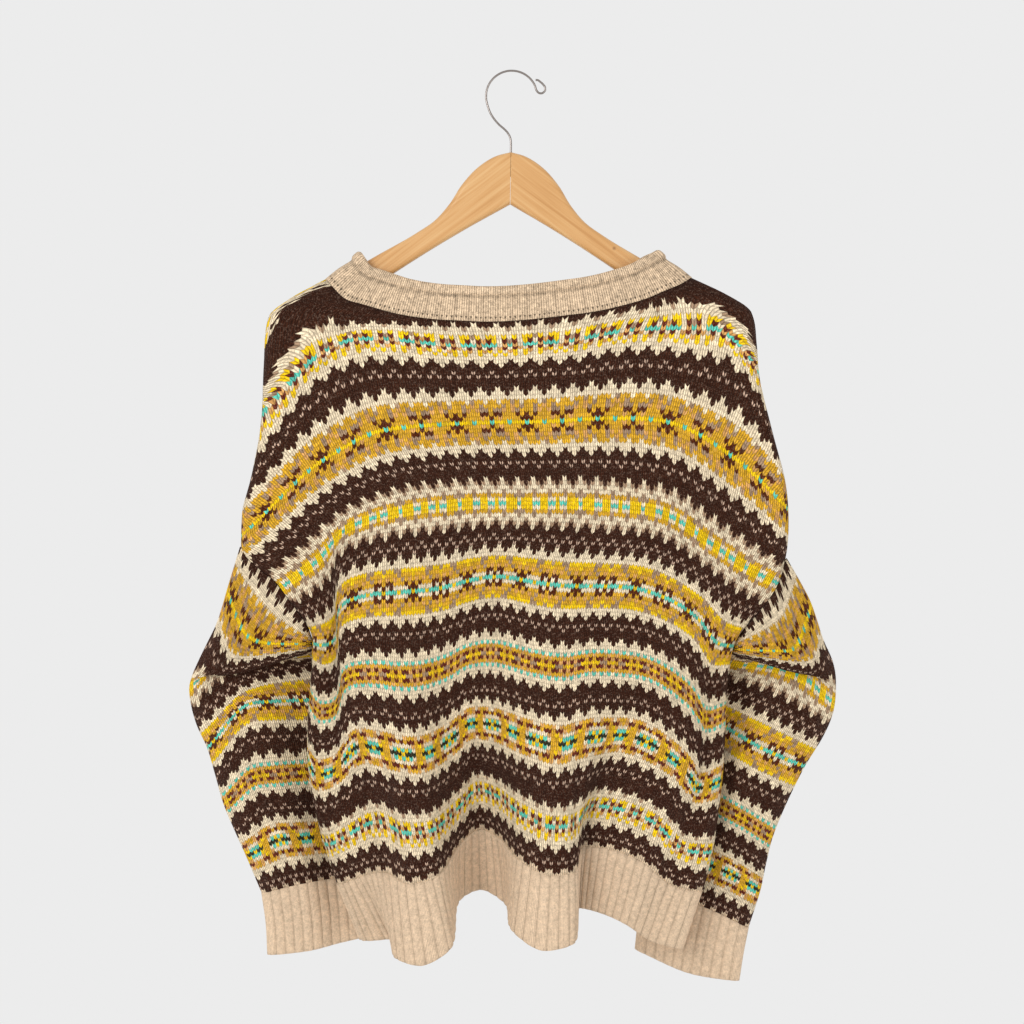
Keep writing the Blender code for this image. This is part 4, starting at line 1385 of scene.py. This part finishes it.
@dataclass
class Collar:
    """The rib band round the neck, its edge rolled outwards, linked on stitch by stitch."""

    back: PanelGrid
    front: PanelGrid
    material: bpy.types.Material
    # Round the band's section: share of its height, distance out from its middle, share of the rib's relief.
    profile: tuple[Triple, ...] = (
        (0.00, 1.3, 1.0), (0.36, 2.2, 1.0), (0.68, 1.6, 0.6), (0.78, 4.4, 0.0), (0.92, 5.2, 0.0),
        (1.00, 2.2, 0.0), (0.94, -1.3, 0.0), (0.40, -0.9, 0.0), (0.00, -1.3, 0.0))
    row: float = 3.2  # height of a row
    seam: float = 0.4
    places: int = 60  # along each panel's neck edge
    ribs: int = 57
    steps: int = 6
    profile_steps: int = 5
    rise: Pair = (33, 24)  # its height at the middle and at the shoulders
    lean: float = 34  # how far in it leans at the shoulders
    curves: Pair = (1.6, 6)  # how late the lean and the loss of height come towards the sides
    inwards: float = 2
    relief: Pair = (1.1, -0.3)  # height of a ridge, and of the grooves, in the rib's relief
    roll_line: Triple = (0.70, 0.035, 0.85)  # the painted shadow line under the rolled edge: its height, its width and how dark it is
    flat: Pair = (0.76, 0.045)

    def ring(self, panel: PanelGrid, share: Array) -> tuple[Array, Array]:
        """Follows the neck edge of a panel.

        Args:
            panel: the panel.
            share: shares of the width.

        Returns:
            The collar's foot there, and its rolled edge above.
        """
        up = unit(panel.points[0] - panel.points[1])
        foot = along_row(panel.share, panel.points[0] + up * self.seam, share)
        side, to_side = np.sign(2 * share - 1), np.abs(2 * share - 1)
        high, low = self.rise
        rise = high - (high - low) * to_side ** self.curves[1]
        inwards = -np.sign(foot[:, 1]) * np.minimum(np.abs(foot[:, 1]), self.inwards)
        return foot, foot + np.stack([-side * self.lean * to_side ** self.curves[0], inwards, rise], 1)

    def build(self) -> bpy.types.Object:
        """Makes the collar.

        Returns:
            The collar's piece.
        """
        share = np.linspace(0, 1, self.places + 1)
        back, front = (self.ring(panel, share) for panel in (self.back, self.front))
        foot, head = (np.concatenate([near, far[-2:0:-1]]) for near, far in zip(back, front))
        out = unit(np.cross(np.roll(foot, -1, axis=0) - np.roll(foot, 1, axis=0), head - foot))
        if np.sum(out * (foot.mean(axis=0) - foot)) > 0:
            out = -out
        columns = self.ribs * self.steps
        way = travelled(looped(foot))
        at = np.interp(np.arange(columns) * way[-1] / columns, way, np.arange(len(way)))
        knots = np.arange(-LAP, len(foot) + LAP + 1)
        foot, head, out = (through(knots, lapped(line), at) for line in (foot, head, out))
        table = looped(np.array(self.profile))
        sections = (len(table) - 1) * self.profile_steps
        profile = through(np.arange(len(table)), table, np.linspace(0, len(table) - 1, sections + 1)[:-1])
        swell, (ridge, groove) = ribbed(self.ribs, self.steps), self.relief
        lift = RIB_RELIEF * (ridge * swell + groove)
        points = np.stack([foot + (head - foot) * height + unit(out) * (distance + relief * lift)[:, None]
                           for height, distance, relief in profile])
        faces = quads(sections, columns, ring_rows=True, ring_columns=True).reshape(-1, 4).tolist()
        item = add_mesh("collar_knit", points.reshape(-1, 3), faces, self.material)
        # painted shade: the rolled edge casts a painted shadow line under itself, and the grooves between the
        # ribs are drawn darker
        place, width, dark = self.roll_line
        height, distance, relief = profile.T[:, :, None]
        roll = np.exp(-(((height - place) / width) ** 2)) * (distance > 0)
        shade = 1 - 0.5 * relief * (1 - swell[None, :]) - dark * roll
        column = np.arange(columns)
        row = travelled(points[:, columns // 4])[:, None] / self.row + slanted(columns)
        loops = np.stack(np.broadcast_arrays(column / 2, row, shade), -1)
        item.data.attributes.new("loop", "FLOAT_VECTOR", "POINT").data.foreach_set("vector", loops.ravel())
        return hand_over(item, "collar")


@dataclass
class Hanger:
    """The wooden hanger and its wire hook. An arm's outline starts at the mitre, as (across, below)."""

    body: Body
    finishes: Finishes
    thickness: float = 12
    edge: float = 4.5  # radius of the rounded edges
    mitre_gap: float = 0.04  # between an arm and the mitre's middle
    face_inset: float = 0.4  # how far inside the rounding a flat face has its own ring of points
    rest_gap: float = 1.6
    top: tuple = ((0.15, 75), (13, 78.5), (30.5, 89.5), (45, 105.5), (57, 124.5), (71, 140.5), (86, 151),
                  (125, 174), (158, 193.5))
    rest_courses: Pair = (-19, -13)
    end: tuple = ((221, 238), (212, 250))
    underside: tuple = ((196, 250), (158, 226), (102, 186), (42, 148), (0.15, 124))
    tilt: float = 0.8  # degrees
    crook_radius: float = 24
    crook_below: float = 22.5
    crook_turn: Pair = (198, 14)  # degrees
    crook_steps: int = 14
    stem: tuple = ((0, 98), (0, 80), (0, 69), (-0.4, 63), (-2.4, 58), (-6.2, 53.6), (-11, 49.6), (-15.3, 45),
                   (-19.4, 39))
    eye: tuple = ((25.3, 18.9), (27.5, 19.4), (29.9, 18.3), (31.3, 16.2), (31.2, 13.8), (29.4, 11.1),
                  (26.4, 8.4), (23.8, 6.9), (22.2, 6.9))
    wire: float = 2.0  # the bright middle of a 3 mm wire, whose rims fade into pale surroundings
    wire_facets: int = 5
    bore: float = 3.0
    bore_middle: float = 81
    bore_length: float = 42
    bore_facets: int = 24
    steps: int = 200  # points along an arm's edge
    edge_steps: int = 6  # points round the edge's rounding
    wire_steps: int = 260
    crisp: float = 40  # degrees from which an edge is drawn crisp

    def tilted(self, points: ArrayLike, way: int = 1) -> Array:
        """Turns points about the place where the hook rests.

        Args:
            points: (across, up) of each.
            way: 1, or -1 for back.

        Returns:
            The turned points.
        """
        turn = math.radians(self.tilt) * way
        across, up = np.asarray(points, float).T
        cosine, sine = math.cos(turn), math.sin(turn)
        return np.stack([across * cosine + up * sine, up * cosine - across * sine], 1)

    @staticmethod
    def inwards(line: Array) -> Array:
        """Unit normals on the right of a line in the plane."""
        tangent = unit(np.gradient(line, axis=0))
        return np.stack([tangent[:, 1], -tangent[:, 0]], 1)

    def rest(self, side: Side) -> Array:
        """Lays the stretch of an arm's upper edge just under the shoulder's fold.

        Args:
            side: the arm's side.

        Returns:
            Its points (across, up), drawn as for a right arm.
        """
        edge = np.array([float(side is Side.RIGHT)])
        courses = np.array(self.rest_courses, float)[:, None]
        folded = np.stack([self.body.tabled("across", edge, courses)[:, 0],
                           -self.body.tabled("below", edge, courses)[:, 0]], 1)
        inwards = self.inwards(folded)
        inwards *= -np.sign(inwards[:, 1:])
        return self.tilted(folded + inwards * (KNIT / 2 + self.rest_gap), -1) * (side.value, 1)

    def outline(self, side: Side) -> Array:
        """Draws an arm's edge from the mitre's top round its end to the mitre's foot.

        Args:
            side: the arm's side.

        Returns:
            Its points (across, up), drawn as for a right arm.
        """
        top, end, under = (np.array(part) * (1, -1) for part in (self.top, self.end, self.underside))
        line = np.concatenate([top, self.rest(side), end, under])
        way = travelled(line)
        return through(way, line, np.linspace(0, way[-1], self.steps))

    def section(self) -> list[Pair]:
        """Draws the rounded edge of an arm.

        Returns:
            How far in from the outline and how deep each ring lies, from the near to the far face.
        """
        flat, turns = self.thickness / 2 - self.edge, np.linspace(0, math.pi / 2, self.edge_steps)
        near = [(self.edge + self.face_inset, -self.thickness / 2)]
        near += [(self.edge * (1 - math.sin(a)), -flat - self.edge * math.cos(a)) for a in turns]
        return near + [(inset, -depth) for inset, depth in near[::-1]]

    def arm(self, side: Side) -> bpy.types.Object:
        """Makes one arm: a flat board with rounded edges, square at the mitre, bored for the wire.

        Args:
            side: the arm's side.

        Returns:
            The arm.
        """
        line = self.outline(side)
        inwards = self.inwards(line)
        # at the mitre the rounding runs straight into the other arm's
        for place in (0, -1):
            inwards[place] = (0, 1 / inwards[place, 1])
        rings = []
        for inset, depth in self.section():
            ring = line + inwards * inset
            ring[:, 0] = np.maximum(ring[:, 0], self.mitre_gap)
            turned = self.tilted(ring * (side.value, 1))
            rings.append(np.stack([turned[:, 0], np.full(len(ring), depth), turned[:, 1]], 1))
        grid = np.arange(len(rings) * self.steps).reshape(len(rings), -1)
        faces = quads(*grid.shape).reshape(-1, 4).tolist()
        faces += [grid[0].tolist(), grid[-1, ::-1].tolist(), [*grid[:, 0].tolist(), *grid[::-1, -1].tolist()]]
        board = add_mesh(f"{side.word}_board", np.concatenate(rings), faces, self.finishes.wood)
        return hand_over(self.bored(board, f"{side.word}_arm_wood"), f"hanger_arm_{side.word}")

    def bored(self, board: bpy.types.Object, name: str) -> bpy.types.Object:
        """Cuts the hole for the hook's stem along the mitre.

        Args:
            board: the arm's board, which goes.
            name: the bored arm's name.

        Returns:
            The bored arm.
        """
        bpy.ops.mesh.primitive_cylinder_add(vertices=self.bore_facets, radius=self.bore / 2 * MM,
                                            depth=self.bore_length * MM)
        cutter = bpy.context.object
        (across, up), = self.tilted([(0, -self.bore_middle)])
        cutter.location, cutter.rotation_euler = (across * MM, 0, up * MM), (0, math.radians(self.tilt), 0)
        bore = board.modifiers.new("bore", "BOOLEAN")
        bore.object, bore.operation = cutter, "DIFFERENCE"
        bpy.context.view_layer.update()
        mesh = bpy.data.meshes.new_from_object(board.evaluated_get(bpy.context.evaluated_depsgraph_get()))
        for spare in (board, cutter):
            bpy.data.objects.remove(spare)
        mesh.shade_smooth()
        mesh.set_sharp_from_angle(angle=math.radians(self.crisp))
        return add_object(name, mesh)

    def hook(self) -> bpy.types.Object:
        """Makes the wire hook as one smooth bent wire.

        Returns:
            The hook's piece.
        """
        start, end = self.crook_turn
        turns = [math.radians(start + (end - start) * n / self.crook_steps)
                 for n in range(self.crook_steps + 1)]
        crook = [(self.crook_radius * math.cos(a), self.crook_below - self.crook_radius * math.sin(a))
                 for a in turns]
        route = self.tilted([(x, -below) for x, below in (*self.stem, *crook, *self.eye)])
        way = travelled(route)
        smooth = through(way, route, np.linspace(0, way[-1], self.wire_steps))
        curve = bpy.data.curves.new("hook_wire", "CURVE")
        curve.dimensions = "3D"
        curve.bevel_depth = self.wire / 2 * MM
        curve.bevel_resolution = self.wire_facets
        curve.use_fill_caps = True
        spline = curve.splines.new("POLY")
        spline.points.add(len(smooth) - 1)
        for point, (x, z) in zip(spline.points, smooth):
            point.co = (x * MM, 0, z * MM, 1)
        curve.materials.append(self.finishes.wire)
        return hand_over(add_object("hook_wire", curve), "hanger_hook")

    def build(self) -> list[bpy.types.Object]:
        """Makes the hanger."""
        return [self.arm(side) for side in Side] + [self.hook()]


@dataclass
class Jumper:
    """The knitted pieces of the garment."""

    body: Body
    finishes: Finishes
    hem_ribs: int = 58
    hem_rows: tuple[float, ...] = (0, 38, 76)
    hem_seam: float = 0.5
    hem_flat: Pair = (0.52, 0.076)
    cuff_ribs: int = 22
    cuff_rows: int = 2
    cuff_flat: Pair = (0.22, 0.076)

    def __post_init__(self) -> None:
        """Lays out the panels, and the sleeves that join them."""
        self.back, self.front = (self.body.panel(face) for face in Face)
        self.sleeves = [Sleeve(side, table, self.back, self.front)
                        for side, table in ((Side.LEFT, LEFT_SLEEVE), (Side.RIGHT, RIGHT_SLEEVE))]

    def hem(self, face: Face) -> RibBand:
        """Lays out the rib band below a body panel.

        Args:
            face: the panel's face.

        Returns:
            The band, ready to build.
        """
        panel = self.front if face is Face.FRONT else self.back
        fine = np.linspace(0, 1, 2 * self.hem_ribs + 1)
        courses = np.repeat(RIB_COURSE + np.array(self.hem_rows, float)[:, None], len(fine), 1)
        grid, out = self.body.surface(fine, courses, face)
        across = np.gradient(panel.points[-1], axis=0)
        down = panel.points[-1] - panel.points[-2]
        down = unit(
            down - across * (np.sum(down * across, axis=1) / np.sum(across * across, axis=1))[:, None])
        grid[0] = along_row(panel.share, panel.points[-1] + down * self.hem_seam, fine)
        out[0] = along_row(panel.share, panel.normals[-1], fine)
        net = Net(self.hem_rows, fine, grid, out, fine=(60, 1200))
        return RibBand(f"{face.word}_hem_rib", net, self.hem_ribs, False, 1.0, self.hem_flat,
                       self.finishes.rib)

    def cuff(self, sleeve: Sleeve) -> RibBand:
        """Lays out the rib band at the end of a sleeve.

        Args:
            sleeve: the sleeve.

        Returns:
            The band, ready to build.
        """
        rows = np.linspace(0, CUFF_END - CUFF_COURSE, self.cuff_rows + 1)
        cuff = sleeve.rounds(CUFF_COURSE + rows, self.cuff_ribs)
        out = sleeve.outwards(cuff)
        down = unit(sleeve.points[-1] - sleeve.points[-2])
        ring = np.arange(2 * sleeve.half + 1)
        places = np.arange(2 * self.cuff_ribs) * sleeve.half / self.cuff_ribs
        cuff[0] = along_row(ring, looped(sleeve.points[-1] + down * SEAM), places)
        out[0] = along_row(ring, looped(sleeve.normals[-1]), places)
        net = Net(rows, None, cuff, out, fine=(60, 700))
        return RibBand(f"{sleeve.side.word}_cuff", net, self.cuff_ribs, True, 2 * self.cuff_ribs,
                       self.cuff_flat, self.finishes.rib)

    def build(self) -> list[bpy.types.Object]:
        """Makes every knitted piece.

        Returns:
            The pieces, in order.
        """
        parts = [Panel(face, self.body, panel, self.finishes.stranded)
                 for face, panel in zip(Face, (self.back, self.front))]
        parts += [self.hem(face) for face in Face]
        for sleeve in self.sleeves:
            parts += [SleeveKnit(sleeve, self.finishes.stranded), self.cuff(sleeve)]
        parts.append(Collar(self.back, self.front, self.finishes.collar))
        return [part.build() for part in parts]


@dataclass(frozen=True)
class Lamp:
    """A soft area light: where it is and looks, its width and its power."""

    name: str
    place: Triple
    width: float
    watts: float


@dataclass(frozen=True)
class Studio:
    """The camera, the pale surroundings and the lights, in metres."""

    aim: Triple = (0.0, 0.0, -0.412)
    distance: float = 3.0
    lens: float = 112.56
    sensor: float = 36
    surroundings: str = "#ECECEC"
    lamps: tuple[Lamp, ...] = (
        Lamp("key", (-1.7, -2.7, 0.2), 1.4, 42),
        Lamp("fill", (2.2, -2.4, -1.0), 1.8, 15),
    )

    def camera(self) -> None:
        """A level camera at the height of the garment's middle."""
        data = bpy.data.cameras.new("camera")
        data.lens, data.sensor_width = self.lens, self.sensor
        item = add_object("camera", data)
        item.location = Vector(self.aim) + Vector((0, -self.distance, 0))
        item.rotation_euler = (math.radians(90), 0, 0)
        bpy.context.scene.camera = item

    def world(self) -> None:
        """An even pale grey all round."""
        world = bpy.data.worlds.new("pale surroundings")
        world.use_nodes = True
        background = world.node_tree.nodes["Background"]
        background.inputs["Color"].default_value = linear(self.surroundings)
        background.inputs["Strength"].default_value = 1.0
        bpy.context.scene.world = world

    def lights(self) -> None:
        """Large soft lights in front."""
        for lamp in self.lamps:
            data = bpy.data.lights.new(lamp.name, "AREA")
            data.size, data.energy = lamp.width, lamp.watts
            item = add_object(lamp.name, data)
            item.location = lamp.place
            item.rotation_euler = (Vector(self.aim) - Vector(lamp.place)).to_track_quat("-Z", "Y").to_euler()

    def build(self) -> None:
        """Sets the studio up."""
        self.camera()
        self.world()
        self.lights()
        bpy.context.scene.view_settings.view_transform = "Standard"


def main() -> None:
    """Builds the visual model on the loaded frame."""
    logging.basicConfig(level=logging.INFO, format="%(name)s: %(message)s")
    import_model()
    body, finishes = Body(), Finishes()
    for assembly in (Jumper(body, finishes), Hanger(body, finishes)):
        for piece in assembly.build():
            LOG.info("%s: made", piece.name)
    Studio().build()
    bpy.context.view_layer.update()


if __name__ == "__main__":
    main()
